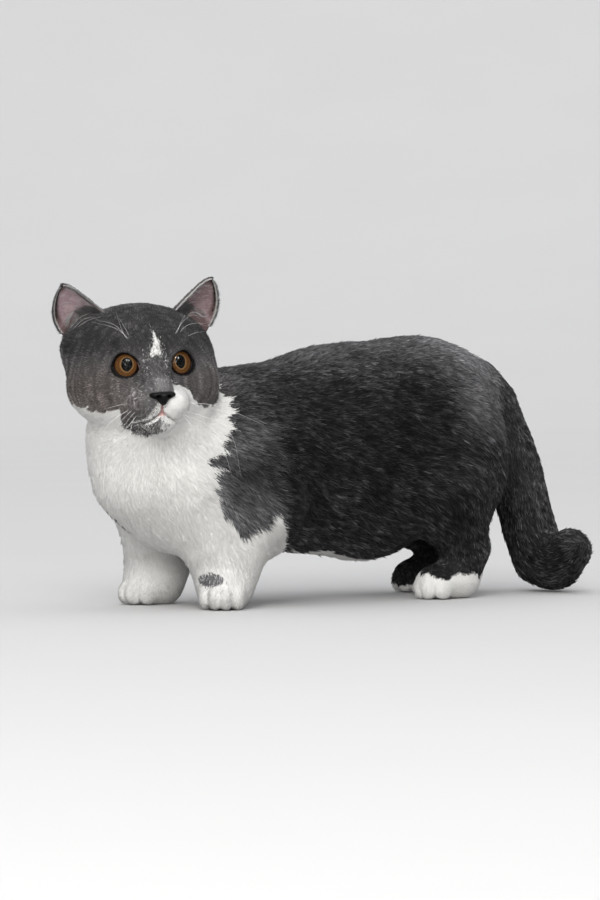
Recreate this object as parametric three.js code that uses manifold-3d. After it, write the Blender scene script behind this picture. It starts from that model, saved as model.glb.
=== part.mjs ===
// A young short-legged cat, standing with its head turned to its left. Millimetres, +Z up.
// The head is towards -X and the cat's left side faces -Y. The paws and the tail rest on z = 0.
//
// The body is one smooth form, made of rounded masses and tapering limbs that melt into one
// another. Its surface is taken at the tips of the coat and parted by thin plane cuts.

import * as THREE from 'three';
import { mergeVertices } from 'three/addons/utils/BufferGeometryUtils.js';
import Module from 'manifold-3d';

const wasm = await Module();
wasm.setup();

// Driving dimensions

const GAP = 0.3;
const REACH = 600;

const RIB_LENGTH = 72;
const RIB_HALF_WIDTH = 57;
const RIB_HALF_HEIGHT = 57;
const BELLY_LENGTH = 92;
const BELLY_HALF_WIDTH = 57;
const BELLY_HALF_HEIGHT = 66;
const RUMP_LENGTH = 61;
const RUMP_HALF_WIDTH = 49;
const RUMP_HALF_HEIGHT = 60;

const FORE_STANCE = 32;
const HIND_STANCE = 33;
const FORE_PAW_X = -84;
const FAR_FORE_PAW_STEP = -9;
const HIND_PAW_X = 93;
const FAR_HIND_PAW_STEP = 32;
const PAW_HEIGHT = 11.5;
const FORE_PAW_TURN = { left: 48, right: 6 };
const HIND_PAW_TURN = { left: 4, right: -4 };

const HEAD_CENTRE = [-135.5, -22, 148];
const HEAD_TURN = 70.2;
const HEAD_ROLL = 2.8;
const SKULL_RADII = [41, 41, 36];
const RIGHT_CHEEK_WIDER = 2;
const TEMPLE_HEIGHT = { left: 9, right: 15 };
const TEMPLE_RADII = { left: [27, 25, 25], right: [27, 27, 22] };
const EYE_RADIUS = 10.5;
const EYE_AT = [24, 14.8, 3];
const EYE_TURN_OUT = 22;
const EYE_OPENING = [7, 6.5];
const EAR_BASE = [-6, 34.2, 30];
const EAR_TIP = [-3, 46.8, 54];
const EAR_HALF_WIDTH = 15.5;
const EAR_OUTER_BULGE = 2;
const EAR_DEPTH = 12.4;
const EAR_THICKNESS = 2.2;
const EAR_TURN_OUT = 32;
const NOSE_AT = [50.5, 0, -16.8];
const NOSE_RADII = [5.5, 10.5, 4];
const NOSE_TAPER = 0.38;
const NOSTRIL_OUT = [4.4, 3.2, -0.2];
const MOUTH_GROOVE = 2.4;
const PARTING_GROOVE = 2;

const TAIL_RADIUS = 17;
const TAIL_ROOT_X = 137;
const TAIL_ROOT_Z = 143;

const HEAD_STEP = 4.9;
const TRUNK_STEP = 13;
const LIMB_STEP = 8;
const PAW_STEP = 5.3;
const TAIL_STEP = 9;

// How far the boxes round the legs reach past the middle of the body and out to the side
const LEG_BOX_INNER = 12;
const LEG_BOX_OUTER = 78;
const HEAD_BOX = [[-200, -100, 90], [-50, 50, 205]];

const GREY = new THREE.Color(0x4a4a4d);
const DARK_GREY = new THREE.Color(0x38383b);
const LIGHT_GREY = new THREE.Color(0x6d696d);
const WHITE = new THREE.Color(0xe4e0da);
const EAR_PINK = new THREE.Color(0x8a7478);
const NOSE_GREY = new THREE.Color(0x2c2829);
const AMBER = new THREE.Color(0x8f5a2a);

// Vectors

const add = (a, b) => [a[0] + b[0], a[1] + b[1], a[2] + b[2]];
const minus = (a, b) => [a[0] - b[0], a[1] - b[1], a[2] - b[2]];
const times = (a, s) => [a[0] * s, a[1] * s, a[2] * s];
const dot = (a, b) => a[0] * b[0] + a[1] * b[1] + a[2] * b[2];
const cross = (a, b) => [
  a[1] * b[2] - a[2] * b[1],
  a[2] * b[0] - a[0] * b[2],
  a[0] * b[1] - a[1] * b[0],
];
const unit = (a) => times(a, 1 / Math.hypot(...a));
const mix = (a, b, t) => add(times(a, 1 - t), times(b, t));
const degrees = THREE.MathUtils.degToRad;

const STRAIGHT = [[1, 0, 0], [0, 1, 0], [0, 0, 1]];

function turnedAboutZ(angle) {
  const c = Math.cos(degrees(angle));
  const s = Math.sin(degrees(angle));
  return [[c, s, 0], [-s, c, 0], [0, 0, 1]];
}

// The same directions with the left one raised by an angle
function rolled([forward, left, up], angle) {
  const c = Math.cos(degrees(angle));
  const s = Math.sin(degrees(angle));
  return [forward, add(times(left, c), times(up, s)), minus(times(up, c), times(left, s))];
}

// The head's own directions: forward, left and up
const HEAD_AXES = rolled(turnedAboutZ(180 + HEAD_TURN), HEAD_ROLL);
const HEAD_BASIS = new THREE.Matrix4().makeBasis(...HEAD_AXES.map((axis) => new THREE.Vector3(...axis)));

function onHead(x, y, z) {
  const [forward, left, up] = HEAD_AXES;
  return add(HEAD_CENTRE, add(times(forward, x), add(times(left, y), times(up, z))));
}

function headDirection(x, y, z) {
  return minus(onHead(x, y, z), HEAD_CENTRE);
}

// The smooth form. Each mass or limb gives its distance from a point, and a blend width.

function mass(centre, radii, blend, axes = STRAIGHT) {
  const reach = Math.max(...radii);
  const distance = (p) => {
    const q = minus(p, centre);
    const along = axes.map((axis) => dot(q, axis));
    const near = Math.hypot(...along.map((value, i) => value / radii[i]));
    const slope = Math.hypot(...along.map((value, i) => value / radii[i] ** 2));
    return near * (near - 1) / (slope + 1e-9);
  };
  return { centre, reach, blend, distance };
}

function limb(from, to, fromRadius, toRadius, blend) {
  const line = minus(to, from);
  const squared = dot(line, line);
  const centre = mix(from, to, 0.5);
  const reach = Math.sqrt(squared) / 2 + Math.max(fromRadius, toRadius);
  const distance = (p) => {
    const q = minus(p, from);
    const t = THREE.MathUtils.clamp(dot(q, line) / squared, 0, 1);
    const away = Math.hypot(...minus(q, times(line, t)));
    return away - (fromRadius + (toRadius - fromRadius) * t);
  };
  return { centre, reach, blend, distance };
}

function melt(a, b, width) {
  const overlap = Math.max(width - Math.abs(a - b), 0) / width;
  return Math.min(a, b) - overlap * overlap * width / 4;
}

const FAR_AWAY = 60;

function formOf(pieces) {
  return (p) => {
    let value = FAR_AWAY;
    for (const piece of pieces) {
      const away = Math.hypot(...minus(p, piece.centre)) - piece.reach;
      if (away < piece.blend + Math.max(value, 0)) {
        value = melt(value, piece.distance(p), piece.blend);
      }
    }
    return value;
  };
}

// The trunk, from the chest to the rump

function trunkPieces() {
  const pieces = [
    mass([-60, -3, 94], [RIB_LENGTH, RIB_HALF_WIDTH, RIB_HALF_HEIGHT], 1),
    mass([10, 1, 94], [BELLY_LENGTH, BELLY_HALF_WIDTH, BELLY_HALF_HEIGHT], 20),
    mass([90, 0, 110], [RUMP_LENGTH, RUMP_HALF_WIDTH, RUMP_HALF_HEIGHT], 24),
    mass([-113, -9, 86], [48, 44, 42], 20),
    mass([-125, -8, 110], [38, 37, 34], 14),
    mass([-102, -8, 60], [30, 28, 27], 16),
    mass([40, 0, 128], [60, 38, 38], 20),
    mass([90, 0, 134], [46, 34, 32], 18),
    mass([48, -2, 69], [42, 44, 45], 20),
    limb([-88, -4, 99], [-116, -11, 106], 44, 37, 12),
  ];
  for (const side of [-1, 1]) {
    pieces.push(mass([-62, side * 34 - 2, 90], [34, 22, 44], 16));
    pieces.push(mass([100, side * 33, 88], [40, 21, 48], 16));
  }
  return pieces;
}

// A front leg, from the elbow to the toes. side is -1 on the cat's left and 1 on its right.

function foreLegPieces(side) {
  const left = side < 0;
  const x = FORE_PAW_X + (left ? 0 : FAR_FORE_PAW_STEP);
  const y = side * FORE_STANCE;
  const turn = left ? FORE_PAW_TURN.left : FORE_PAW_TURN.right;
  const axes = turnedAboutZ(turn);
  const heel = [x + 3, y, PAW_HEIGHT];
  const wrist = [heel[0] - (left ? 0 : 1), y, 21];
  const pieces = [
    limb([-54, side * 38 - 2, 62], [-50, side * 34, 46], 22, 16, 12),
    limb([-60, side * 38 - 2, 58], wrist, 21, 14, 14),
    limb([-106, side * 30 - 1, 72], wrist, 23, 16.5, 18),
    limb(wrist, heel, 16, 14, 10),
    mass(add(heel, times(axes[0], -7)), [17, 15.5, PAW_HEIGHT + 1], 8, axes),
  ];
  return pieces.concat(toes(add(heel, times(axes[0], -8)), axes));
}

// A hind leg, from the thigh to the toes

function hindLegPieces(side) {
  const left = side < 0;
  const x = HIND_PAW_X + (left ? 0 : FAR_HIND_PAW_STEP);
  const y = side * HIND_STANCE;
  const turn = left ? HIND_PAW_TURN.left : HIND_PAW_TURN.right;
  const axes = turnedAboutZ(turn);
  const hock = [x + 13, y, 33];
  const heel = [x + 8, y, 14];
  const pieces = [
    limb([86, side * 37, 68], hock, 30, 15, 16),
    limb(hock, heel, 15, 13.5, 10),
    mass(add(heel, [-10, 0, -2]), [24, 15, PAW_HEIGHT + 1], 8, axes),
  ];
  return pieces.concat(toes(add(heel, [-14, 0, -2]), axes));
}

// Four round toes in an arc at the front of a paw

const TOE_RADII = [8, 5.6, 8.5];
const TOE_SPREAD = 6.6;
const TOE_ARC = 0.13;

function toes(centre, axes) {
  return [-1.5, -0.5, 0.5, 1.5].map((place) => {
    const sideways = place * TOE_SPREAD;
    const forward = -14 + TOE_ARC * sideways ** 2 / 2;
    const at = add(add([centre[0], centre[1], 7.6], times(axes[0], forward)), times(axes[1], sideways));
    return mass(at, TOE_RADII, 2.5, axes);
  });
}

// The tail hangs down from its root and lies on the floor with its tip turned to the left

function tailPieces() {
  const spine = new THREE.CatmullRomCurve3([
    new THREE.Vector3(TAIL_ROOT_X - 14, 1, TAIL_ROOT_Z),
    new THREE.Vector3(TAIL_ROOT_X + 12, 3, 132),
    new THREE.Vector3(TAIL_ROOT_X + 30, 4, 104),
    new THREE.Vector3(TAIL_ROOT_X + 41, 3, 74),
    new THREE.Vector3(TAIL_ROOT_X + 48, 0, 44),
    new THREE.Vector3(TAIL_ROOT_X + 55, -9, 17),
    new THREE.Vector3(TAIL_ROOT_X + 53, -37, 28),
  ]);
  const lengths = 10;
  const points = spine.getSpacedPoints(lengths).map((point) => point.toArray());
  const radius = (i) => TAIL_RADIUS + 1.5 * Math.cos(Math.PI * i / 4) * (i < 4 ? 1 : 0);
  return points.slice(1).map((point, i) => limb(points[i], point, radius(i), radius(i + 1), 12));
}

// The head, without ears, eyes and nose

function headPieces() {
  const pieces = [mass(onHead(-9, 0, 7), SKULL_RADII, 12, HEAD_AXES)];
  for (const side of [-1, 1]) {
    const name = side < 0 ? 'right' : 'left';
    const wider = side < 0 ? RIGHT_CHEEK_WIDER : 0;
    pieces.push(mass(onHead(3, side * (24 + wider), -8), [28, 23.5, 24], 12, HEAD_AXES));
    const temple = onHead(-8, side * (21 + wider), TEMPLE_HEIGHT[name]);
    pieces.push(mass(temple, TEMPLE_RADII[name], 10, HEAD_AXES));
    pieces.push(mass(onHead(20, side * 15, 13), [15, 14, 12], 8, HEAD_AXES));
    pieces.push(mass(onHead(EYE_AT[0], side * EYE_AT[1], EYE_AT[2]), [12, 12, 12], 4, HEAD_AXES));
    pieces.push(mass(onHead(40, side * 8.5, -20.5), [13, 10.8, 9.5], 5, HEAD_AXES));
  }
  pieces.push(mass(onHead(12, 0, -19), [31, 28, 18], 10, HEAD_AXES));
  pieces.push(limb(onHead(27, 0, 12), onHead(45, 0, -10), 10, 7.5, 8));
  pieces.push(mass(onHead(37, 0, -31), [12, 11.5, 9], 5, HEAD_AXES));
  return pieces;
}

const headForm = formOf(headPieces());
const catForm = formOf([
  ...trunkPieces(),
  ...[-1, 1].flatMap((side) => [...foreLegPieces(side), ...hindLegPieces(side)]),
  ...tailPieces(),
  ...headPieces(),
]);

// The surface of a form inside a box, as one vertex in each crossed cell of a square lattice

function slopeOf(form, p) {
  const small = 0.05;
  return [0, 1, 2].map((i) => {
    const shift = STRAIGHT[i].map((value) => value * small);
    return (form(add(p, shift)) - form(minus(p, shift))) / (2 * small);
  });
}

function settled(form, p, level) {
  let point = p;
  for (let round = 0; round < 3; round += 1) {
    const slope = slopeOf(form, point);
    const squared = Math.max(dot(slope, slope), 0.25);
    point = minus(point, times(slope, (form(point) - level) / squared));
  }
  return point;
}

// A lattice square whose inner corners touch only across its diagonal has one outer corner filled
function closeDiagonals(values, counts, indexOf) {
  const barely = -1e-3;
  let found = true;
  while (found) {
    found = false;
    for (let i = 1; i < counts[0] - 2; i += 1) {
      for (let j = 1; j < counts[1] - 2; j += 1) {
        for (let k = 1; k < counts[2] - 2; k += 1) {
          for (let axis = 0; axis < 3; axis += 1) {
            const b = STRAIGHT[(axis + 1) % 3];
            const c = STRAIGHT[(axis + 2) % 3];
            const at = [i, j, k];
            const ring = [at, add(at, b), add(add(at, b), c), add(at, c)].map((p) => indexOf(...p));
            const inner = ring.map((corner) => values[corner] < 0);
            if (inner[0] === inner[2] && inner[1] === inner[3] && inner[0] !== inner[1]) {
              const outer = ring.filter((corner) => values[corner] >= 0);
              values[values[outer[0]] < values[outer[1]] ? outer[0] : outer[1]] = barely;
              found = true;
            }
          }
        }
      }
    }
  }
}

function surfaceOf(form, low, high, step, level = 0) {
  const counts = low.map((value, i) => Math.ceil((high[i] - value) / step) + 1);
  const [nx, ny, nz] = counts;
  const place = (i, j, k) => add(low, [i * step, j * step, k * step]);
  const indexOf = (i, j, k) => (i * ny + j) * nz + k;
  const values = new Float64Array(nx * ny * nz);
  for (let i = 0; i < nx; i += 1) {
    for (let j = 0; j < ny; j += 1) {
      for (let k = 0; k < nz; k += 1) {
        const border = i * j * k === 0 || i === nx - 1 || j === ny - 1 || k === nz - 1;
        const value = form(place(i, j, k)) - level;
        values[indexOf(i, j, k)] = border ? Math.max(value, step / 4) : value;
      }
    }
  }
  closeDiagonals(values, counts, indexOf);
  const positions = [];
  const vertexOf = new Map();
  const cellVertex = (i, j, k) => {
    const cell = indexOf(i, j, k);
    if (!vertexOf.has(cell)) {
      vertexOf.set(cell, positions.length / 3);
      positions.push(...cellPoint(i, j, k));
    }
    return vertexOf.get(cell);
  };
  const cellPoint = (i, j, k) => {
    let sum = [0, 0, 0];
    let crossings = 0;
    for (let axis = 0; axis < 3; axis += 1) {
      for (const [b, c] of [[0, 0], [0, 1], [1, 0], [1, 1]]) {
        const start = [i, j, k];
        start[(axis + 1) % 3] += b;
        start[(axis + 2) % 3] += c;
        const end = add(start, STRAIGHT[axis]);
        const from = values[indexOf(...start)];
        const to = values[indexOf(...end)];
        if (from < 0 !== to < 0) {
          sum = add(sum, mix(place(...start), place(...end), from / (from - to)));
          crossings += 1;
        }
      }
    }
    const middle = times(sum, 1 / crossings);
    const inside = [i, j, k].every((value, axis) => value > 0 && value < counts[axis] - 2);
    return inside ? settled(form, middle, level) : middle;
  };
  const triangles = [];
  const pointOf = (vertex) => positions.slice(3 * vertex, 3 * vertex + 3);
  const addQuad = (a, b, c, d) => {
    const across = Math.hypot(...minus(pointOf(a), pointOf(c)));
    const other = Math.hypot(...minus(pointOf(b), pointOf(d)));
    triangles.push(...(across < other ? [a, b, c, a, c, d] : [b, c, d, b, d, a]));
  };
  for (let i = 0; i < nx - 1; i += 1) {
    for (let j = 0; j < ny - 1; j += 1) {
      for (let k = 0; k < nz - 1; k += 1) {
        for (let axis = 0; axis < 3; axis += 1) {
          const from = values[indexOf(i, j, k)];
          const to = values[indexOf(...add([i, j, k], STRAIGHT[axis]))];
          if (from < 0 !== to < 0) {
            const back = STRAIGHT[(axis + 1) % 3];
            const down = STRAIGHT[(axis + 2) % 3];
            const corner = [i, j, k];
            const ring = [minus(minus(corner, back), down), minus(corner, down), corner, minus(corner, back)];
            const quad = ring.map((cell) => cellVertex(...cell));
            addQuad(...(from < 0 ? quad : quad.reverse()));
          }
        }
      }
    }
  }
  return solidFrom(new Float32Array(positions), new Uint32Array(triangles));
}

// Solids and the cuts between them

function solidFrom(vertProperties, triVerts) {
  return new wasm.Manifold(new wasm.Mesh({ numProp: 3, vertProperties, triVerts }));
}

function solidOf(geometry) {
  const bare = geometry.clone();
  bare.deleteAttribute('normal');
  bare.deleteAttribute('uv');
  const joined = mergeVertices(bare, 1e-4);
  return solidFrom(new Float32Array(joined.attributes.position.array), new Uint32Array(joined.index.array));
}

function largest(solid) {
  const bodies = solid.decompose();
  return bodies.reduce((best, body) => (body.volume() > best.volume() ? body : best));
}

function geometryOf(solid) {
  const mesh = solid.getMesh();
  const geometry = new THREE.BufferGeometry();
  geometry.setAttribute('position', new THREE.BufferAttribute(mesh.vertProperties, 3));
  geometry.setIndex(new THREE.BufferAttribute(mesh.triVerts, 1));
  geometry.computeVertexNormals();
  return geometry;
}

// All that lies behind a plane, short of it by a margin
function behind(plane, margin) {
  const normal = new THREE.Vector3(...plane.normal).normalize();
  const box = new THREE.BoxGeometry(REACH, REACH, REACH);
  box.translate(0, 0, -REACH / 2 - margin);
  box.applyQuaternion(new THREE.Quaternion().setFromUnitVectors(new THREE.Vector3(0, 0, 1), normal));
  box.translate(...plane.point);
  return solidOf(box);
}

const flipped = (plane) => ({ point: plane.point, normal: times(plane.normal, -1) });

// What lies behind every plane of a list: with a margin below zero it reaches past them
function region(planes, margin = GAP / 2) {
  return planes.map((plane) => behind(plane, margin)).reduce((all, next) => all.intersect(next));
}

const FLOOR = { point: [0, 0, 0], normal: [0, 0, -1] };
const NECK_TOP = { point: [-109, -17, 126], normal: [-0.5, -0.35, 0.79] };
const NECK_BASE = { point: [-84, -5, 112], normal: [-0.75, -0.12, 0.65] };
const CHEST_BACK = { point: [-22, 0, 90], normal: [1, 0, 0.1] };
const RUMP_FRONT = { point: [50, 0, 90], normal: [1, 0, -0.25] };
const TAIL_START = { point: [152, 0, 130], normal: [1, 0, 0] };
const TAIL_UPPER_END = { point: [180, 0, 100], normal: [0.3, 0, -1] };
const TAIL_LOWER_START = { point: [187, 0, 50], normal: [0.1, 0, -1] };

function foreLegPlanes(side) {
  return [
    { point: [-70, 0, 27], normal: [0.25, -side * 0.62, 0.72] },
    { point: [0, 0, 0], normal: [0, -side, 0] },
    { point: [-22, 0, 40], normal: [1, 0, -0.2] },
    { point: [-128, 0, 30], normal: [-1, 0, 0.3] },
  ];
}

function hindLegPlanes(side) {
  return [
    { point: [90, 0, 44], normal: [-0.2, -side * 0.55, 0.8] },
    { point: [0, side, 0], normal: [0, -side, 0] },
    { point: [54, 0, 40], normal: [-1, 0, -0.3] },
  ];
}

const WRIST = { point: [0, 0, 24], normal: [0, 0, 1] };
const KNEE = { point: [104, 0, 50], normal: [-0.35, 0, 0.94] };
const HOCK = { point: [104, 0, 24], normal: [0.2, 0, 0.98] };

// The meshes

const cat = new THREE.Group();

function addPart(name, solid, color, roughness = 0.9) {
  const material = new THREE.MeshStandardMaterial({ color, roughness, metalness: 0 });
  const mesh = new THREE.Mesh(geometryOf(largest(solid)), material);
  mesh.name = name;
  cat.add(mesh);
}

function addTrunk() {
  const trunk = surfaceOf(catForm, [-190, -80, 10], [175, 80, 200], TRUNK_STEP);
  const legs = [-1, 1].flatMap((side) => [foreLegPlanes(side), hindLegPlanes(side)]);
  const legless = legs.reduce((rest, planes) => rest.subtract(region(planes, -GAP / 2)), trunk);
  const cut = (planes) => legless.intersect(region([FLOOR, ...planes]));
  addPart('neck', cut([NECK_TOP, flipped(NECK_BASE)]), LIGHT_GREY);
  addPart('chest', cut([NECK_BASE, CHEST_BACK]), GREY);
  addPart('belly', cut([flipped(CHEST_BACK), RUMP_FRONT]), GREY);
  addPart('rump', cut([flipped(RUMP_FRONT), TAIL_START]), GREY);
}

// The lowest and highest y of the box round a leg
function legSpan(side) {
  return side < 0 ? [-LEG_BOX_OUTER, LEG_BOX_INNER] : [-LEG_BOX_INNER, LEG_BOX_OUTER];
}

function addForeLeg(side, name) {
  const [near, far] = legSpan(side);
  const planes = foreLegPlanes(side);
  const leg = surfaceOf(catForm, [-150, near, 0], [-5, far, 112], LIMB_STEP);
  const paw = surfaceOf(catForm, [-136, near, -10], [-50, far, 38], PAW_STEP);
  addPart(`foreleg_${name}`, leg.intersect(region([...planes, flipped(WRIST)])), WHITE);
  const sole = behind(FLOOR, 0);
  addPart(`forepaw_${name}`, paw.intersect(region([...planes, WRIST])).intersect(sole), WHITE);
}

function addHindLeg(side, name) {
  const [near, far] = legSpan(side);
  const planes = [...hindLegPlanes(side), TAIL_START];
  const leg = surfaceOf(catForm, [35, near, 0], [165, far, 125], LIMB_STEP);
  const paw = surfaceOf(catForm, [45, near, -10], [158, far, 50], PAW_STEP);
  const sole = behind(FLOOR, 0);
  addPart(`thigh_${name}`, leg.intersect(region([...planes, flipped(KNEE)])), GREY);
  addPart(`shank_${name}`, leg.intersect(region([...planes, KNEE, flipped(HOCK)])), GREY);
  addPart(`hindpaw_${name}`, paw.intersect(region([...planes, HOCK])).intersect(sole), WHITE);
}

function addTail() {
  const tail = surfaceOf(catForm, [130, -70, -15], [225, 40, 175], TAIL_STEP);
  const cut = (planes) => tail.intersect(region([flipped(TAIL_START), ...planes]));
  const sole = behind(FLOOR, 0);
  addPart('tail_root', cut([TAIL_UPPER_END]), DARK_GREY);
  addPart('tail_middle', cut([flipped(TAIL_UPPER_END), TAIL_LOWER_START]), DARK_GREY);
  addPart('tail_tip', cut([flipped(TAIL_LOWER_START)]).intersect(sole), DARK_GREY);
}

// Eyes, in sockets behind the opening of the lids

function eyeCentre(side) {
  return onHead(EYE_AT[0], side * EYE_AT[1], EYE_AT[2]);
}

function eyeball(side, radius) {
  const ball = new THREE.SphereGeometry(radius, 16, 12);
  ball.rotateX(Math.PI / 2);
  ball.translate(...eyeCentre(side));
  return solidOf(ball);
}

function frameOf(forward, up) {
  const z = new THREE.Vector3(...forward).normalize();
  const x = new THREE.Vector3(...up).cross(z).normalize();
  const y = new THREE.Vector3().crossVectors(z, x);
  return new THREE.Matrix4().makeBasis(x, y, z);
}

function lidOpening(side) {
  const [halfWidth, halfHeight] = EYE_OPENING;
  const inner = -side;
  const outline = new THREE.Shape();
  outline.moveTo(inner * halfWidth * 1.22, -halfHeight * 0.42);
  outline.bezierCurveTo(
    inner * halfWidth * 1.18, halfHeight * 1.35,
    -inner * halfWidth * 0.75, halfHeight * 1.9,
    -inner * halfWidth * 1.04, halfHeight * 0.1,
  );
  outline.bezierCurveTo(
    -inner * halfWidth * 0.7, -halfHeight * 1.25,
    inner * halfWidth * 0.55, -halfHeight * 1.25,
    inner * halfWidth * 1.22, -halfHeight * 0.42,
  );
  const tool = new THREE.ExtrudeGeometry(outline, { depth: 30, bevelEnabled: false, curveSegments: 10 });
  const out = degrees(EYE_TURN_OUT) * side;
  const gaze = headDirection(Math.cos(out), Math.sin(out), 0);
  tool.applyMatrix4(frameOf(gaze, headDirection(0, 0, 1)));
  tool.translate(...eyeCentre(side));
  return solidOf(tool);
}

// The nose leather, broad above and narrow below, with two nostrils

function noseLeather(grown) {
  const [length, halfWidth, halfHeight] = NOSE_RADII;
  const ball = new THREE.SphereGeometry(1, 16, 10);
  const position = ball.attributes.position;
  for (let i = 0; i < position.count; i += 1) {
    const narrow = 1 - NOSE_TAPER * (1 - position.getZ(i));
    position.setXYZ(
      i,
      position.getX(i) * (length + grown),
      position.getY(i) * (halfWidth + grown) * narrow,
      position.getZ(i) * (halfHeight + grown),
    );
  }
  ball.applyMatrix4(HEAD_BASIS);
  ball.translate(...onHead(...NOSE_AT));
  return solidOf(ball);
}

function nostril(side) {
  const hole = new THREE.CapsuleGeometry(1, 2.2, 2, 6);
  hole.applyMatrix4(HEAD_BASIS);
  hole.translate(...onHead(...add(NOSE_AT, [NOSTRIL_OUT[0], side * NOSTRIL_OUT[1], NOSTRIL_OUT[2]])));
  return solidOf(hole);
}

// Grooves of the mouth and of the parting under the nose, laid on the surface of the muzzle

function onMuzzle(y, z) {
  let x = 75;
  while (headForm(onHead(x, y, z)) > 0 && x > 0) {
    x -= 0.2;
  }
  return new THREE.Vector3(...onHead(x - 0.2, y, z));
}

function groove(points, width) {
  const half = width / 2;
  const section = new THREE.Shape([
    new THREE.Vector2(-half, 0),
    new THREE.Vector2(0, -half),
    new THREE.Vector2(half, 0),
    new THREE.Vector2(0, half),
  ]);
  const path = new THREE.CatmullRomCurve3(points);
  return solidOf(new THREE.ExtrudeGeometry(section, { steps: 3 * points.length, extrudePath: path }));
}

// The mouth falls from the middle of the lips and levels out towards its corners
function mouthHeight(y) {
  return -24.6 - 1.1 * y + 0.045 * y * y;
}

function mouthLine(side) {
  const ys = [0, 3, 6, 9, 12, 15];
  return groove(ys.map((y) => onMuzzle(side * y, mouthHeight(y))), MOUTH_GROOVE);
}

function parting() {
  return groove([-20.4, -22.2, -24, -25].map((z) => onMuzzle(0, z)), PARTING_GROOVE);
}

function addHead() {
  let head = surfaceOf(catForm, ...HEAD_BOX, HEAD_STEP).intersect(region([flipped(NECK_TOP)]));
  head = head.subtract(noseLeather(GAP));
  head = head.subtract(parting());
  for (const side of [-1, 1]) {
    head = head.subtract(eyeball(side, EYE_RADIUS + GAP));
    head = head.subtract(lidOpening(side));
    head = head.subtract(mouthLine(side));
  }
  addPart('head', head, LIGHT_GREY);
  addPart('nose', noseLeather(0).subtract(nostril(-1)).subtract(nostril(1)), NOSE_GREY, 0.5);
  addPart('eye_left', eyeball(1, EYE_RADIUS), AMBER, 0.1);
  addPart('eye_right', eyeball(-1, EYE_RADIUS), AMBER, 0.1);
}

// An ear: a leaf with a hollowed front. Rings run from the sunk base to the tip.

function loft(rings, tip) {
  const count = rings[0].length;
  const positions = rings.flat(2);
  const bottom = rings.length * count;
  positions.push(...rings[0].reduce((sum, p) => add(sum, p)).map((value) => value / count));
  positions.push(...tip);
  const triangles = [];
  for (let i = 0; i < count; i += 1) {
    const next = (i + 1) % count;
    for (let r = 0; r < rings.length - 1; r += 1) {
      const a = r * count + i;
      const b = r * count + next;
      triangles.push(a, b, b + count, a, b + count, a + count);
    }
    const last = (rings.length - 1) * count;
    triangles.push(bottom, next, i);
    triangles.push(last + i, last + next, bottom + 1);
  }
  return { positions, triangles };
}

function earSolid(side, inset) {
  const base = onHead(EAR_BASE[0], side * EAR_BASE[1], EAR_BASE[2]);
  const tip = onHead(EAR_TIP[0], side * EAR_TIP[1], EAR_TIP[2]);
  const up = unit(minus(tip, base));
  const height = Math.hypot(...minus(tip, base));
  const out = degrees(EAR_TURN_OUT) * side;
  const facing = headDirection(Math.cos(out), Math.sin(out), 0);
  const across = unit(cross(up, facing));
  const front = cross(across, up);
  const levels = 8;
  const segments = 10;
  const rings = [];
  const from = inset > 0 ? 0.06 : -0.35;
  const to = inset > 0 ? 0.9 : 0.97;
  for (let r = 0; r <= levels; r += 1) {
    const v = from + (to - from) * r / levels;
    const taper = (1 - Math.max(v, 0) ** 1.6) ** 0.65;
    const bulge = EAR_OUTER_BULGE * side * Math.sin(Math.PI * THREE.MathUtils.clamp(v, 0, 1));
    const halfWidth = EAR_HALF_WIDTH * taper - inset;
    const depth = EAR_DEPTH * taper - inset;
    const ring = [];
    for (let i = 0; i <= segments; i += 1) {
      const s = -1 + 2 * i / segments;
      const middle = add(base, times(up, height * v));
      const sideways = times(across, Math.max(halfWidth, 0.3) * s + bulge);
      const back = times(front, -Math.max(depth, 0.3) * (1 - s * s));
      ring.push(add(add(middle, sideways), back));
    }
    if (inset > 0) {
      ring.push(add(ring[segments], times(front, 6)));
      ring.push(add(ring[0], times(front, 6)));
    }
    rings.push(ring.reverse());
  }
  const top = rings[levels];
  const middle = top.reduce((sum, p) => add(sum, p)).map((value) => value / top.length);
  const end = add(middle, times(up, 0.6));
  const { positions, triangles } = loft(rings, end);
  return solidFrom(new Float32Array(positions), new Uint32Array(triangles));
}

function addEars() {
  const head = surfaceOf(catForm, ...HEAD_BOX, HEAD_STEP, GAP);
  for (const [side, name] of [[1, 'left'], [-1, 'right']]) {
    const ear = earSolid(side, 0).subtract(earSolid(side, EAR_THICKNESS)).subtract(head);
    addPart(`ear_${name}`, ear, EAR_PINK);
  }
}

addTrunk();
for (const [side, name] of [[-1, 'left'], [1, 'right']]) {
  addForeLeg(side, name);
  addHindLeg(side, name);
}
addTail();
addHead();
addEars();

const bounds = new THREE.Box3().setFromObject(cat);
const middle = bounds.getCenter(new THREE.Vector3());
cat.position.set(-middle.x, -middle.y, 0);

export default cat;
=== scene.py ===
"""A young short-legged cat, grey and white, standing with its head turned to its left.

The skin is one smooth form of rounded masses and tapering limbs, the same as the solids', drawn in by the
depth of the coat. The coat is made of thin closed tufts rooted in the skin, which follow the lie of the hair.
"""
import math

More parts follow.
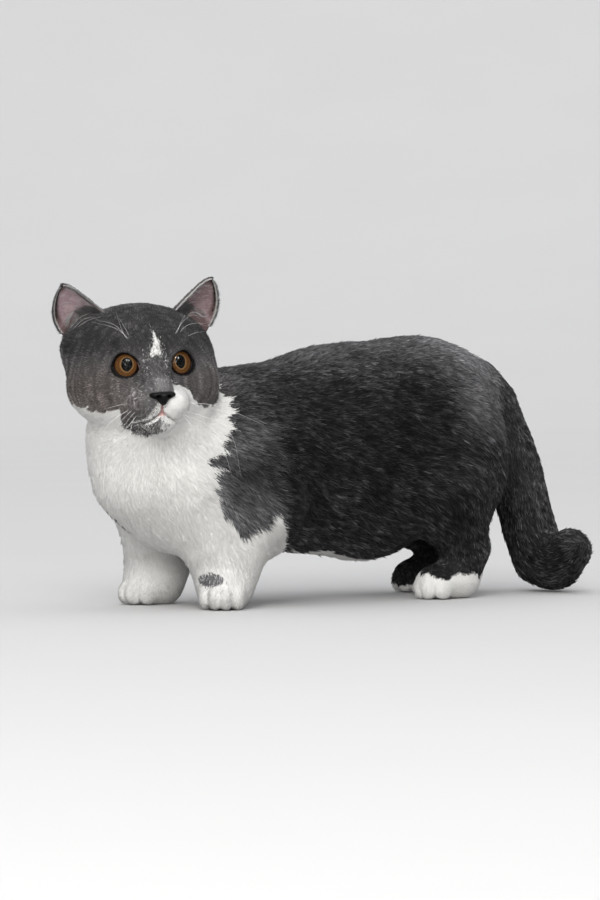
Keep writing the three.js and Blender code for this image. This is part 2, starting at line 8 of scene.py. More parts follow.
import bpy
import numpy as np
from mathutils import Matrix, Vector


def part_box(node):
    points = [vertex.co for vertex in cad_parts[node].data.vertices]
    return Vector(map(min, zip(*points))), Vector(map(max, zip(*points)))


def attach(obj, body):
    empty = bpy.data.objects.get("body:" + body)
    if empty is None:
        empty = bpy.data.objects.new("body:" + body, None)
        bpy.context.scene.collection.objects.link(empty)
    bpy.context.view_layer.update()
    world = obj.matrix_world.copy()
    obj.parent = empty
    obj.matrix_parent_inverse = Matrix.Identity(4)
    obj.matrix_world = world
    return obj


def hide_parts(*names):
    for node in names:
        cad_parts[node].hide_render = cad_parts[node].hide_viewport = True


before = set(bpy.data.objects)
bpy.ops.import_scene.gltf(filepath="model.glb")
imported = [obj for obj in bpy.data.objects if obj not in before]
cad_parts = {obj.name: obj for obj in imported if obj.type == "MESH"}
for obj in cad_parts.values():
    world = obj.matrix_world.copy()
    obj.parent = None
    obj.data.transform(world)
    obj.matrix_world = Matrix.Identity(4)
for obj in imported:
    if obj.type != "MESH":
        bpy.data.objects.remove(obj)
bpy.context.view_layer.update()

QUICK_SHARE = 1.0
rng = np.random.default_rng(2357)

# The form, in millimetres: the head is towards -X, the cat's left side towards -Y, the floor at z = 0.
# On the head, x is forward, y to the cat's left and z up. A side is the sign of y, so that -1 is the cat's
# left on the body and its right on the head.

HEAD_CENTRE = np.array([-135.5, -22.0, 148.0])
HEAD_TURN = 70.2
HEAD_ROLL = 2.8
CHEEK_WIDER = {-1: 2.0, 1: 0}
TEMPLE_HEIGHT = {-1: 15, 1: 9}
TEMPLE_RADII = {-1: [27, 27, 22], 1: [27, 25, 25]}
EYE_RADIUS = 10.5
EYE_AT = np.array([24.0, 14.8, 3.0])
NOSE_AT = np.array([50.5, 0.0, -16.8])
PAW_HEIGHT = 11.5
TOE_SPACING, TOE_RADII = 6.6, [8, 5.6, 8.5]
FORE_PAW_X, FAR_FORE_PAW_STEP, FORE_STANCE = -84, -9, 32
HIND_PAW_X, FAR_HIND_PAW_STEP, HIND_STANCE = 93, 32, 33
FORE_PAW_TURN = {-1: 48, 1: 6}
WRIST_STEP = {-1: 0, 1: -1}
HIND_PAW_TURN = {-1: 4, 1: -4}
TAIL_ROOT_X, TAIL_ROOT_Z, TAIL_RADIUS, TAIL_STEPS = 137, 143, 17, 10
STRAIGHT = np.eye(3)
SIDES = (-1, 1)


def turned_about_z(angle):
    c, s = math.cos(math.radians(angle)), math.sin(math.radians(angle))
    return np.array([[c, s, 0], [-s, c, 0], [0, 0, 1.0]])


def rolled(axes, angle):
    """The same directions with the left one raised by an angle."""
    c, s = math.cos(math.radians(angle)), math.sin(math.radians(angle))
    forward, left, up = axes
    return np.array([forward, left * c + up * s, up * c - left * s])


HEAD_AXES = rolled(turned_about_z(180 + HEAD_TURN), HEAD_ROLL)


def from_head(places):
    return HEAD_CENTRE + np.asarray(places) @ HEAD_AXES


def head_place(points):
    return (points - HEAD_CENTRE) @ HEAD_AXES.T


# The form's own millimetres are set on the frame by the centre of the left eye
eye_low, eye_high = (np.array(corner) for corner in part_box("eye_left"))
HOME = (eye_low + eye_high) / 2 * 1000 - from_head(EYE_AT)


def metres(points):
    return (np.asarray(points) + HOME) / 1000


# Small tools for numbers

def smooth(low, high, value):
    t = np.clip((value - low) / (high - low), 0, 1)
    return t * t * (3 - 2 * t)


def within(value, low, full_low, full_high, high):
    """1 between the two full values, falling to 0 at low and high."""
    return smooth(low, full_low, value) * smooth(high, full_high, value)


def bell(value, middle, width):
    return np.exp(-((value - middle) / width) ** 2)


def toward(a, b, share):
    return a + (b - a) * share


def unit(vectors):
    return vectors / np.maximum(np.linalg.norm(vectors, axis=-1, keepdims=True), 1e-9)


def dots(a, b):
    return np.sum(a * b, axis=-1, keepdims=True)


def swung(a, b, angle):
    """The directions at an angle from a towards b."""
    return a * np.cos(angle)[:, None] + b * np.sin(angle)[:, None]


def lattice_noise(points, size, seed):
    """Smooth noise from -1 to 1, with features about size mm across."""
    at = points / size
    cell = np.floor(at).astype(np.int64)
    t = at - cell
    t = t * t * (3 - 2 * t)
    total = np.zeros(len(points))
    for corner in np.ndindex(2, 2, 2):
        key = (cell + corner) @ np.array([73856093, 19349663, 83492791]) + seed * 2654435761
        key = (key ^ (key >> 13)) * 1274126177 & 0x7FFFFFFF
        value = (key ^ (key >> 16)) % 65536 / 32767.5 - 1
        total += value * np.prod(np.where(corner, t, 1 - t), axis=1)
    return total


# Masses and limbs, each with its distance from points and the width over which it melts into the rest

def mass(centre, radii, blend, axes=STRAIGHT):
    centre, radii = np.asarray(centre, float), np.asarray(radii, float)

    def distance(points):
        along = (points - centre) @ axes.T
        near = np.sqrt(np.sum((along / radii) ** 2, axis=-1))
        slope = np.sqrt(np.sum((along / radii ** 2) ** 2, axis=-1))
        return near * (near - 1) / (slope + 1e-9)

    return centre, radii.max(), blend, distance


def head_mass(place, radii, blend):
    return mass(from_head(place), radii, blend, HEAD_AXES)


def limb(start, end, start_radius, end_radius, blend):
    start, end = np.asarray(start, float), np.asarray(end, float)
    line = end - start
    squared = line @ line

    def distance(points):
        away = points - start
        t = np.clip(away @ line / squared, 0, 1)
        apart = np.linalg.norm(away - t[..., None] * line, axis=-1)
        return apart - toward(start_radius, end_radius, t)

    reach = math.sqrt(squared) / 2 + max(start_radius, end_radius)
    return (start + end) / 2, reach, blend, distance


def melt(a, b, width):
    overlap = np.maximum(width - np.abs(a - b), 0) / width
    return np.minimum(a, b) - overlap * overlap * width / 4


def trunk_pieces():
    pieces = [
        mass([-60, -3, 94], [72, 57, 57], 1),
        mass([10, 1, 94], [92, 57, 66], 20),
        mass([90, 0, 110], [61, 49, 60], 24),
        mass([-113, -9, 86], [48, 44, 42], 20),
        mass([-125, -8, 110], [38, 37, 34], 14),
        mass([-102, -8, 60], [30, 28, 27], 16),
        mass([40, 0, 128], [60, 38, 38], 20),
        mass([90, 0, 134], [46, 34, 32], 18),
        mass([48, -2, 69], [42, 44, 45], 20),
        limb([-88, -4, 99], [-116, -11, 106], 44, 37, 12),
    ]
    for side in SIDES:
        pieces.append(mass([-62, side * 34 - 2, 90], [34, 22, 44], 16))
        pieces.append(mass([100, side * 33, 88], [40, 21, 48], 16))
    return pieces


def toes(centre, axes):
    pieces = []
    for place in (-1.5, -0.5, 0.5, 1.5):
        sideways = place * TOE_SPACING
        forward = -14 + 0.13 * sideways ** 2 / 2
        at = np.array([centre[0], centre[1], 7.6]) + axes[0] * forward + axes[1] * sideways
        pieces.append(mass(at, TOE_RADII, 2.5, axes))
    return pieces


def fore_heel(side):
    x = FORE_PAW_X + (0 if side < 0 else FAR_FORE_PAW_STEP)
    return np.array([x + 3, side * FORE_STANCE, PAW_HEIGHT])


def hind_heel(side):
    x = HIND_PAW_X + (0 if side < 0 else FAR_HIND_PAW_STEP)
    return np.array([x + 8, side * HIND_STANCE, 14])


def fore_leg_pieces(side):
    axes = turned_about_z(FORE_PAW_TURN[side])
    heel = fore_heel(side)
    wrist = heel + [WRIST_STEP[side], 0, 21 - PAW_HEIGHT]
    pieces = [
        limb([-54, side * 38 - 2, 62], [-50, side * 34, 46], 22, 16, 12),
        limb([-60, side * 38 - 2, 58], wrist, 21, 14, 14),
        limb([-106, side * 30 - 1, 72], wrist, 23, 16.5, 18),
        limb(wrist, heel, 16, 14, 10),
        mass(heel - 7 * axes[0], [17, 15.5, PAW_HEIGHT + 1], 8, axes),
    ]
    return pieces + toes(heel - 8 * axes[0], axes)


def hind_leg_pieces(side):
    axes = turned_about_z(HIND_PAW_TURN[side])
    heel = hind_heel(side)
    hock = heel + [5, 0, 19]
    pieces = [
        limb([86, side * 37, 68], hock, 30, 15, 16),
        limb(hock, heel, 15, 13.5, 10),
        mass(heel + [-10, 0, -2], [24, 15, PAW_HEIGHT + 1], 8, axes),
    ]
    return pieces + toes(heel + [-14, 0, -2], axes)


SPLINE_STEPS = 40


def catmull_rom(points, count):
    """Evenly spaced points along a centripetal spline, ends included."""
    points = np.asarray(points, float)
    padded = np.vstack([2 * points[0] - points[1], points, 2 * points[-1] - points[-2]])
    dense = []
    for p0, p1, p2, p3 in zip(padded, padded[1:], padded[2:], padded[3:]):
        d0, d1, d2 = (max(np.linalg.norm(b - a) ** 0.5, 1e-4) for a, b in ((p0, p1), (p1, p2), (p2, p3)))
        m1 = d1 * ((p1 - p0) / d0 - (p2 - p0) / (d0 + d1) + (p2 - p1) / d1)
        m2 = d1 * ((p2 - p1) / d1 - (p3 - p1) / (d1 + d2) + (p3 - p2) / d2)
        for t in np.arange(SPLINE_STEPS) / SPLINE_STEPS:
            square, cube = t ** 2, t ** 3
            ends = (2 * cube - 3 * square + 1) * p1 + (3 * square - 2 * cube) * p2
            dense.append(ends + (cube - 2 * square + t) * m1 + (cube - square) * m2)
    dense.append(points[-1])
    dense = np.array(dense)
    run = np.concatenate([[0], np.cumsum(np.linalg.norm(np.diff(dense, axis=0), axis=1))])
    where = np.linspace(0, run[-1], count)
    return np.stack([np.interp(where, run, dense[:, i]) for i in range(3)], axis=1)


TAIL_SPINE = catmull_rom([
    [TAIL_ROOT_X - 14, 1, TAIL_ROOT_Z],
    [TAIL_ROOT_X + 12, 3, 132],
    [TAIL_ROOT_X + 30, 4, 104],
    [TAIL_ROOT_X + 41, 3, 74],
    [TAIL_ROOT_X + 48, 0, 44],
    [TAIL_ROOT_X + 55, -9, 17],
    [TAIL_ROOT_X + 53, -37, 28],
], TAIL_STEPS + 1)


def tail_pieces():
    radius = [TAIL_RADIUS + (1.5 * math.cos(math.pi * i / 4) if i < 4 else 0) for i in range(TAIL_STEPS + 1)]
    return [limb(TAIL_SPINE[i], TAIL_SPINE[i + 1], radius[i], radius[i + 1], 12) for i in range(TAIL_STEPS)]


def head_pieces():
    pieces = [head_mass([-9, 0, 7], [41, 41, 36], 12)]
    for side in SIDES:
        wide = CHEEK_WIDER[side]
        pieces += [
            head_mass([3, side * (24 + wide), -8], [28, 23.5, 24], 12),
            head_mass([-8, side * (21 + wide), TEMPLE_HEIGHT[side]], TEMPLE_RADII[side], 10),
            head_mass([20, side * 15, 13], [15, 14, 12], 8),
            head_mass(EYE_AT * [1, side, 1], [12, 12, 12], 4),
            head_mass([40, side * 8.5, -20.5], [13, 10.8, 9.5], 5),
        ]
    return pieces + [
        head_mass([12, 0, -19], [31, 28, 18], 10),
        limb(from_head([27, 0, 12]), from_head([45, 0, -10]), 10, 7.5, 8),
        head_mass([37, 0, -31], [12, 11.5, 9], 5),
    ]


CAT = trunk_pieces()
for leg_side in SIDES:
    CAT += fore_leg_pieces(leg_side) + hind_leg_pieces(leg_side)
CAT += tail_pieces() + head_pieces()

FAR_AWAY = 60.0
NEAR_BAND = 26.0


def form_at(pieces, points):
    value = np.full(len(points), FAR_AWAY)
    for centre, reach, blend, distance in pieces:
        near = np.flatnonzero(np.linalg.norm(points - centre, axis=1) < reach + NEAR_BAND + blend)
        if len(near):
            value[near] = melt(value[near], distance(points[near]), blend)
    return value


def form_on_grid(pieces, xs, ys, zs):
    value = np.full((len(xs), len(ys), len(zs)), FAR_AWAY)
    for centre, reach, blend, distance in pieces:
        spans = []
        for axis, line in enumerate((xs, ys, zs)):
            ends = np.searchsorted(line, [centre[axis] - reach - NEAR_BAND, centre[axis] + reach + NEAR_BAND])
            spans.append(slice(*ends))
        part = value[tuple(spans)]
        if part.size:
            grid = np.meshgrid(xs[spans[0]], ys[spans[1]], zs[spans[2]], indexing="ij")
            value[tuple(spans)] = melt(part, distance(np.stack(grid, axis=-1)), blend)
    return value


# Where on the cat a point is, as soft shares from 0 to 1

NECK_TOP = np.array([-109, -17, 126.0])
NECK_TOP_UP = unit(np.array([-0.5, -0.35, 0.79]))


def head_share(points):
    return smooth(-7, 9, (points - NECK_TOP) @ NECK_TOP_UP)


def face_share(points):
    return head_share(points) * smooth(-20, 16, head_place(points)[:, 0])


def leg_share(points):
    share = np.zeros(len(points))
    for side in SIDES:
        for heel, lean in ((fore_heel(side), 0.35), (hind_heel(side), 0.0)):
            rise = np.maximum(points[:, 2] - 12, 0)
            away = np.hypot(points[:, 0] - heel[0] - lean * rise + 4, points[:, 1] - heel[1])
            share = np.maximum(share, smooth(36, 24, away) * smooth(62, 30, points[:, 2]))
    return share


def tail_share(points):
    return smooth(150, 160, points[:, 0] + 0.25 * (points[:, 2] - 100))


# How deep the coat lies, in mm
TRUNK_COAT, TAIL_COAT, HEAD_COAT, FACE_COAT, PAW_COAT, LEG_COAT = 3.4, 3.2, 2.4, 1.2, 1.2, 3.2
EYE_RIM_COAT, NOSE_RIM_COAT = 0.8, 0.5


def coat_depth(points):
    place = head_place(points)
    face = smooth(-12, 20, place[:, 0]) * smooth(-48, -30, place[:, 2])
    eye_away = np.minimum(*(np.linalg.norm(place - EYE_AT * [1, side, 1], axis=1) for side in SIDES))
    nose_away = np.linalg.norm(place - NOSE_AT, axis=1)
    leg = toward(PAW_COAT, LEG_COAT, smooth(14, 52, points[:, 2]))
    depth = toward(TRUNK_COAT, leg, leg_share(points))
    depth = toward(depth, TAIL_COAT, tail_share(points))
    depth = toward(depth, toward(HEAD_COAT, FACE_COAT, face), head_share(points))
    depth = toward(depth, EYE_RIM_COAT, smooth(EYE_RADIUS + 7, EYE_RADIUS + 1, eye_away))
    return toward(depth, NOSE_RIM_COAT, smooth(16, 7, nose_away))


# The surface of a field as closed quads, one point in each crossed cell

def surface_nets(values, xs, ys, zs):
    lines = (xs, ys, zs)
    inside = values < 0
    strides = np.array([values.shape[1] * values.shape[2], values.shape[2], 1])
    ids, places, quads = [], [], []
    for axis in range(3):
        ahead = [slice(None)] * 3
        behind = [slice(None)] * 3
        ahead[axis], behind[axis] = slice(1, None), slice(None, -1)
        crossed = np.argwhere(inside[tuple(ahead)] != inside[tuple(behind)])
        step, back, down = np.roll(np.eye(3, dtype=int), -axis, axis=0)
        start, end = values[tuple(crossed.T)], values[tuple((crossed + step).T)]
        point = np.stack([line[index] for line, index in zip(lines, crossed.T)], axis=1)
        line, index = lines[axis], crossed[:, axis]
        point[:, axis] += start / (start - end) * (line[index + 1] - line[index])
        ring = [crossed - back - down, crossed - down, crossed, crossed - back]
        around = np.stack([corner @ strides for corner in ring], axis=1)
        quads.append(np.where((start < 0)[:, None], around, around[:, ::-1]))
        for corner in range(4):
            ids.append(around[:, corner])
            places.append(point)
    ids, places, quads = np.concatenate(ids), np.concatenate(places), np.concatenate(quads)
    cell, inverse = np.unique(ids, return_inverse=True)
    count = np.bincount(inverse)
    vertices = np.stack([np.bincount(inverse, places[:, i]) / count for i in range(3)], axis=1)
    return vertices, np.searchsorted(cell, quads)


def settle(field, points, rounds):
    """Moves points along the slope of a field onto its zero."""
    small = 0.1
    for _ in range(rounds):
        here = field(points)
        slope = np.stack([(field(points + STRAIGHT[i] * small) - here) / small for i in range(3)], axis=1)
        squared = np.maximum(np.sum(slope * slope, axis=1), 0.25)
        points = points - slope * np.clip(here / squared, -1.5, 1.5)[:, None]
    return points


def stepped(stops, steps):
    """A line of places through the stops, with its own step between each two."""
    parts = [np.arange(a, b, step * (1.0)) for a, b, step in zip(stops, stops[1:], steps)]
    return np.concatenate(parts + [[stops[-1]]])


def vertex_normals(vertices, quads):
    a, b, c, d = (vertices[quads[:, i]] for i in range(4))
    face = np.cross(c - a, d - b)
    total = np.zeros_like(vertices)
    for corner in range(4):
        for axis in range(3):
            total[:, axis] += np.bincount(quads[:, corner], face[:, axis], len(vertices))
    return unit(total)


# The opening of the lids: a rounded almond on the eyeball, pointed towards the nose

EYE_TURN_OUT = 22
EYE_OPENING = (7.0, 6.5)
LID_RIM = 1.12


def bezier(points, count):
    t = np.linspace(0, 1, count, endpoint=False)[:, None]
    p = np.asarray(points, float)
    return (1 - t) ** 3 * p[0] + 3 * t * (1 - t) ** 2 * p[1] + 3 * t * t * (1 - t) * p[2] + t ** 3 * p[3]


def lid_line(count):
    """The opening seen along the eye's axis: x towards the nose, y up."""
    upper = [[1.22, -0.42], [1.18, 1.35], [-0.75, 1.9], [-1.04, 0.1]]
    lower = [[-1.04, 0.1], [-0.7, -1.25], [0.55, -1.25], [1.22, -0.42]]
    return np.vstack([bezier(points, count // 2) for points in (upper, lower)]) * EYE_OPENING


def eye_axes(side, turn, pitch=0.0):
    """Towards the nose, up and along the gaze, in head directions."""
    out, rise = math.radians(turn) * side, math.radians(pitch)
    gaze = np.array([math.cos(out) * math.cos(rise), math.sin(out) * math.cos(rise), math.sin(rise)])
    inward = unit(np.cross([0, 0, 1], gaze)) * -side
    return np.stack([inward, unit(np.cross(gaze, inward)) * -side, gaze])


def eye_local(place, side):
    """Head places as towards the nose, up and along the axis of an eye."""
    return (place - EYE_AT * [1, side, 1]) @ eye_axes(side, EYE_TURN_OUT).T


def in_front_of_opening(along, scale):
    """Whether places of an eye lie in front of its opening, widened by a scale."""
    x, y, z = along.T
    inside = np.zeros(x.shape, bool)
    polygon = lid_line(40) * scale
    for (x0, y0), (x1, y1) in zip(polygon, np.roll(polygon, -1, axis=0)):
        if y0 != y1:
            inside ^= ((y0 > y) != (y1 > y)) & (x < (x1 - x0) * (y - y0) / (y1 - y0) + x0)
    return inside & (z > 0)


def eye_hollow(points):
    """Below zero in the sockets and in front of them, where the lids are open."""
    place = head_place(points)
    value = np.full(len(points), 9.0)
    for side in SIDES:
        near = np.flatnonzero(np.linalg.norm(place - EYE_AT * [1, side, 1], axis=1) < EYE_RADIUS + 8)
        along = eye_local(place[near], side)
        ball = np.linalg.norm(along, axis=1) - (EYE_RADIUS + 0.3)
        front = np.where(in_front_of_opening(along, 1.1), -1.0, np.hypot(along[:, 0], along[:, 1]))
        value[near] = np.minimum(value[near], np.minimum(ball, front))
    return value


def mouth_height(y):
    """The line of the mouth falls from the middle of the lips and levels out towards its corners."""
    return -24.6 - 1.1 * np.abs(y) + 0.045 * y * y


def groove_depth(points):
    """How deep the line of the mouth and the parting under the nose are pressed in."""
    x, y, z = head_place(points).T
    mouth = 1.8 * bell(z, mouth_height(y), 1.0) * smooth(17.5, 13, np.abs(y))
    parting = 1.5 * bell(y, 0, 0.8) * within(z, -26.5, -24, -20, -18)
    return np.maximum(mouth, parting) * smooth(20, 30, x)


def skin_field(points):
    return form_at(CAT, points) + coat_depth(points) + groove_depth(points)


XS = stepped([-192, -92, 166, 216], [0.8, 2.3, 1.7])
YS = stepped([-80, -26, 34, 72], [0.8, 1.6, 1.9])
ZS = stepped([-4, 30, 100, 192], [1.2, 2.1, 0.8])
SKIN_BAND = 14
SOLE_LEVEL = 0.4


def skin_values():
    values = form_on_grid(CAT, XS, YS, ZS)
    i, j, k = np.nonzero(np.abs(values) < SKIN_BAND)
    points = np.stack([XS[i], YS[j], ZS[k]], axis=1)
    values[i, j, k] += coat_depth(points) + groove_depth(points)
    values[i, j, k] = np.maximum(values[i, j, k], -eye_hollow(points))
    return np.maximum(values, SOLE_LEVEL - ZS)


skin_vertices, skin_quads = surface_nets(skin_values(), XS, YS, ZS)
free = (eye_hollow(skin_vertices) > 1.2) & (skin_vertices[:, 2] > 1.5)
skin_vertices[free] = settle(skin_field, skin_vertices[free], 2)
skin_normals = vertex_normals(skin_vertices, skin_quads)

# The markings. whiteness() is above 0 in the white coat and below it in the grey, from named edges and noise.

# Places along the front edge of the grey, as height and x, on the near and the far side
BIB_EDGE_NEAR = [(40, -82), (49, -85), (55, -91), (62, -96), (68, -101), (76, -107), (87, -105), (95, -103),
                 (103, -98), (110, -95), (120, -89), (131, -85.6), (142, -86), (147, -102), (152, -130)]
BIB_EDGE_FAR = [(30, -120), (36, -146), (60, -150), (66, -134), (72, -118), (80, -110), (100, -103),
                (120, -96), (142, -95), (150, -125)]
# Places along the lower edge of the grey over the forelegs, as x and height
ELBOW_EDGE_NEAR = [(-110, 60), (-91, 55), (-85, 49), (-77, 46.4), (-69, 49), (-66, 56), (-64, 61), (-61, 62.5),
                   (-58, 53), (-52, 46), (-47, 36), (-44, 20)]
ELBOW_EDGE_FAR = [(-150, 38), (-90, 40), (-70, 44), (-60, 52), (-52, 44), (-46, 30), (-43, 18)]
# The lower edge of the grey on the face, as side and height in head places: cat's right is below zero
CHEEK_EDGE = [(-60, -12), (-50, -15), (-43.4, -19.9), (-33.6, -23.9), (-26, -23.5), (-22.3, -22.5),
              (-20.5, -27), (-19.6, -32), (-17, -36), (-13.8, -38.5), (-6.9, -40.1), (-2, -39), (0.8, -36.8),
              (3.2, -34.5), (4.5, -32.8)]
# The upper edge of the white on the cat's left of the face
MUZZLE_EDGE = [(0.6, -16), (4, -15), (7.4, -12.5), (8.2, -9), (12, -9), (17.8, -10.6), (21.7, -13.8),
               (23.5, -18.2), (26.7, -22), (33.8, -24.3), (40.8, -22.9), (46, -20.2), (52, -16), (58, -12)]
# The lower edge of the grey on the pad of the cat's right, as height and side
PAD_EDGE = [(-31, -16), (-30, -14.4), (-28.4, -10.3), (-24.3, -6.9), (-20.2, -4.2), (-18, -2.0)]
# The half width and the middle of the blaze, by height
BLAZE_WIDTH = [(6, 4.6), (9, 4.4), (12, 3.4), (16, 2.0), (21, 0.9), (27, 0.6)]
BLAZE_MIDDLE = [(6, -0.8), (9, -0.3), (16, 1.4), (22, 1.2), (27, 0.6)]
WELL_INSIDE = 9.0


def edge(places, value):
    x, y = np.array(places).T
    return np.interp(value, x, y)


def body_white(points):
    x, y, z = points.T
    near = y < 0
    bib = np.where(near, edge(BIB_EDGE_NEAR, z), edge(BIB_EDGE_FAR, z)) - x
    bib = np.where(near, bib, toward(bib, np.maximum(bib, 14 - y), smooth(-100, -118, x)))
    elbow = np.where(near, edge(ELBOW_EDGE_NEAR, x), edge(ELBOW_EDGE_FAR, x)) - z
    leg = np.minimum(elbow, np.where(x < -40, WELL_INSIDE, -WELL_INSIDE))
    leg = np.where(~near & (x < -72) & (y < 50), WELL_INSIDE, leg)
    hind = np.where((x > 40) & (x < 152), np.where(near, 16, 8) - z, -WELL_INSIDE)
    belly = np.minimum(13 - np.abs(y), np.minimum(34 - z, 62 - np.abs(x - 5)))
    return np.maximum.reduce([bib, leg, hind, belly])


def face_white(points):
    x, y, z = head_place(points).T
    under = np.maximum(edge(CHEEK_EDGE, y) - z, np.where((z < -29) & (y > -20), 18 - x, -WELL_INSIDE))
    left = np.minimum(edge(MUZZLE_EDGE, y) - z, y - 0.6)
    left = np.where(z < mouth_height(y), np.minimum(left, y - 4.2), left)
    return np.maximum(np.where(y < 4.5, under, -WELL_INSIDE), left)


def streaks(points):
    """White hairs mixed into the grey: the blaze, its flanks, the sides of the nose and the chin."""
    x, y, z = head_place(points).T
    blaze = 0.74 * bell(y, edge(BLAZE_MIDDLE, z), edge(BLAZE_WIDTH, z)) * within(z, 3, 11, 19, 28)
    notch = 1 - 0.75 * bell(y, -0.2, 1.7) * smooth(13, 7, z)
    flank = 0.24 * bell(y, -6.4, 1.5) * within(z, -8, 0, 6, 14)
    other = 0.24 * bell(y, 5.4, 1.3) * within(z, -8, 0, 7, 12)
    beside = 0.55 * bell(y, 8.6, 1.6) * within(z, -12, -9, -7, -4)
    cheek = 0.03 * within(y, -30, -24, -12, -8) * within(z, -18, -10, -7, -2)
    down = mouth_height(y) - z
    pad = smooth(-1.5, 2.5, y - edge(PAD_EDGE, z)) * smooth(1.8, 0.6, y)
    lip = 0.7 * pad * smooth(0.6, -0.4, down) * smooth(-17, -19, z)
    chin = (0.345 + 0.3 * smooth(2.8, 1.2, down) * smooth(-9, -3, y)) * smooth(0, 1, down)
    chin = (chin + 0.25 * smooth(-1, 3, y)) * smooth(-24, -25, z)
    return np.maximum.reduce([blaze * notch, flank, other, beside, cheek, chin, lip]) * smooth(8, 18, x)


def pinkness(points):
    """1 on the bare skin of the parting under the nose and the middle of the lips."""
    x, y, z = head_place(points).T
    parting = smooth(1.1, 0.5, np.abs(y)) * within(z, -25.5, -24.5, -20, -18.5)
    down = -24.2 - z
    lip = smooth(0.6, 0, np.abs(y - 0.1) - 0.6 * down - 0.3) * within(down, -0.2, 0.3, 2.8, 4.0)
    return np.maximum(parting, lip) * smooth(36, 42, x)


def whiteness(points):
    """How far inside the white a point is, in mm, roughened by noise that is finer on the face."""
    head = head_share(points) * smooth(50, 40, head_place(points)[:, 1])
    long_locks = 6.0 * lattice_noise(points * [0.25, 0.25, 1], 3.4, 7)
    rough = toward(3.5 * lattice_noise(points, 9, 3), long_locks, smooth(48, 66, points[:, 2]))
    body = body_white(points) + rough + 2.2 * lattice_noise(points, 3.4, 4)
    face = face_white(points) + 1.6 * lattice_noise(points, 3, 5) + 0.8 * lattice_noise(points, 1.3, 6)
    return np.where(head > 0.5, face, body)


def grey_patches(points):
    """The share of grey hair on the front of the near wrist and beside the far elbow."""
    wrist = np.linalg.norm((points - [-102, -44, 19]) / [9, 10, 4.2], axis=1)
    elbow = np.linalg.norm((points - [-142, 14, 51]) / [12, 12, 14], axis=1)
    return 0.9 * np.maximum(smooth(1.35, 0.6, wrist), smooth(1.3, 0.8, elbow))


def marks(points, chance):
    """1 for a white hair and 0 for a grey one. chance is a random number for each hair."""
    white = (whiteness(points) > 0) & (chance >= grey_patches(points))
    return (white | (chance < streaks(points) * head_share(points))).astype(float)


def grey_level(points):
    """How light the grey coat is: lighter on the head, darker on the flanks, the legs and the tail. The top of
    the back, the shoulder and the rump are lighter, and the flanks darker, partly by painted light from above.
    """
    x, y, z = points.T
    ahead, left, up = head_place(points).T
    # Painted light from above, partly the coat's own colour: lighter towards the top of the back and on the
    # shoulder and the rump; the tail is darker towards the bottom
    level = 0.026 + 0.07 * smooth(132, 168, z) + 0.005 * smooth(110, 60, z)
    shoulder = smooth(-50, -78, x) * smooth(135, 105, z)
    rump = smooth(70, 112, x) * smooth(90, 125, z)
    level = level + (0.075 + 0.16 * smooth(84, 60, z)) * shoulder + 0.1 * rump
    level = toward(level, 0.05 - 0.014 * smooth(60, 30, z), tail_share(points))
    muzzle = smooth(26, 44, ahead) * smooth(0, -8, up)
    low_cheek = smooth(-8, -20, up) * smooth(-12, -22, left)
    face = 0.14 - 0.076 * smooth(2, 18, up) + 0.06 * muzzle + 0.06 * low_cheek
    face = face + 0.05 * smooth(12, 30, left) * smooth(14, 2, up)
    velvet = smooth(5.4, 3.2, np.abs(left - 0.8)) * within(up, -14, -12, -6, -3.5)
    face = face + 0.11 * velvet * smooth(34, 40, ahead)
    level = toward(level, face, head_share(points))
    calm = 1 - 0.6 * head_share(points) - 0.4 * tail_share(points) - 0.35 * smooth(118, 150, z)
    patches = 0.42 * lattice_noise(points, 26, 8) + 0.3 * lattice_noise(points, 11, 9)
    level = level * np.exp(np.maximum(calm, 0.3) * patches)
    return level * (1 - 0.97 * lid_nearness(points))


def lid_nearness(points):
    """1 on the dark rim round the opening of each eye."""
    place = head_place(points)
    value = np.zeros(len(points))
    for side in SIDES:
        along = eye_local(place, side)
        w, h = EYE_OPENING
        away = np.hypot((along[:, 0] - 0.07 * w) / (1.12 * w), along[:, 1] / h)
        value = np.maximum(value, smooth(1.19, 1.11, away) * (along[:, 2] > 0))
    return value


def warmth(points):
    """1 where the grey turns brownish: the cheeks and the fur beside the ears."""
    x, y, z = head_place(points).T
    cheek = (smooth(-4, -28, y) + 0.5 * smooth(8, 28, y)) * smooth(14, -10, z)
    return np.clip(0.25 + 0.8 * cheek, 0, 1) * head_share(points)


# The lie of the coat

NOSE_FRONT = np.array([60.0, 0, -9.0])
DOWN_AND_BACK = np.array([0.3, 0.1, -1.0])
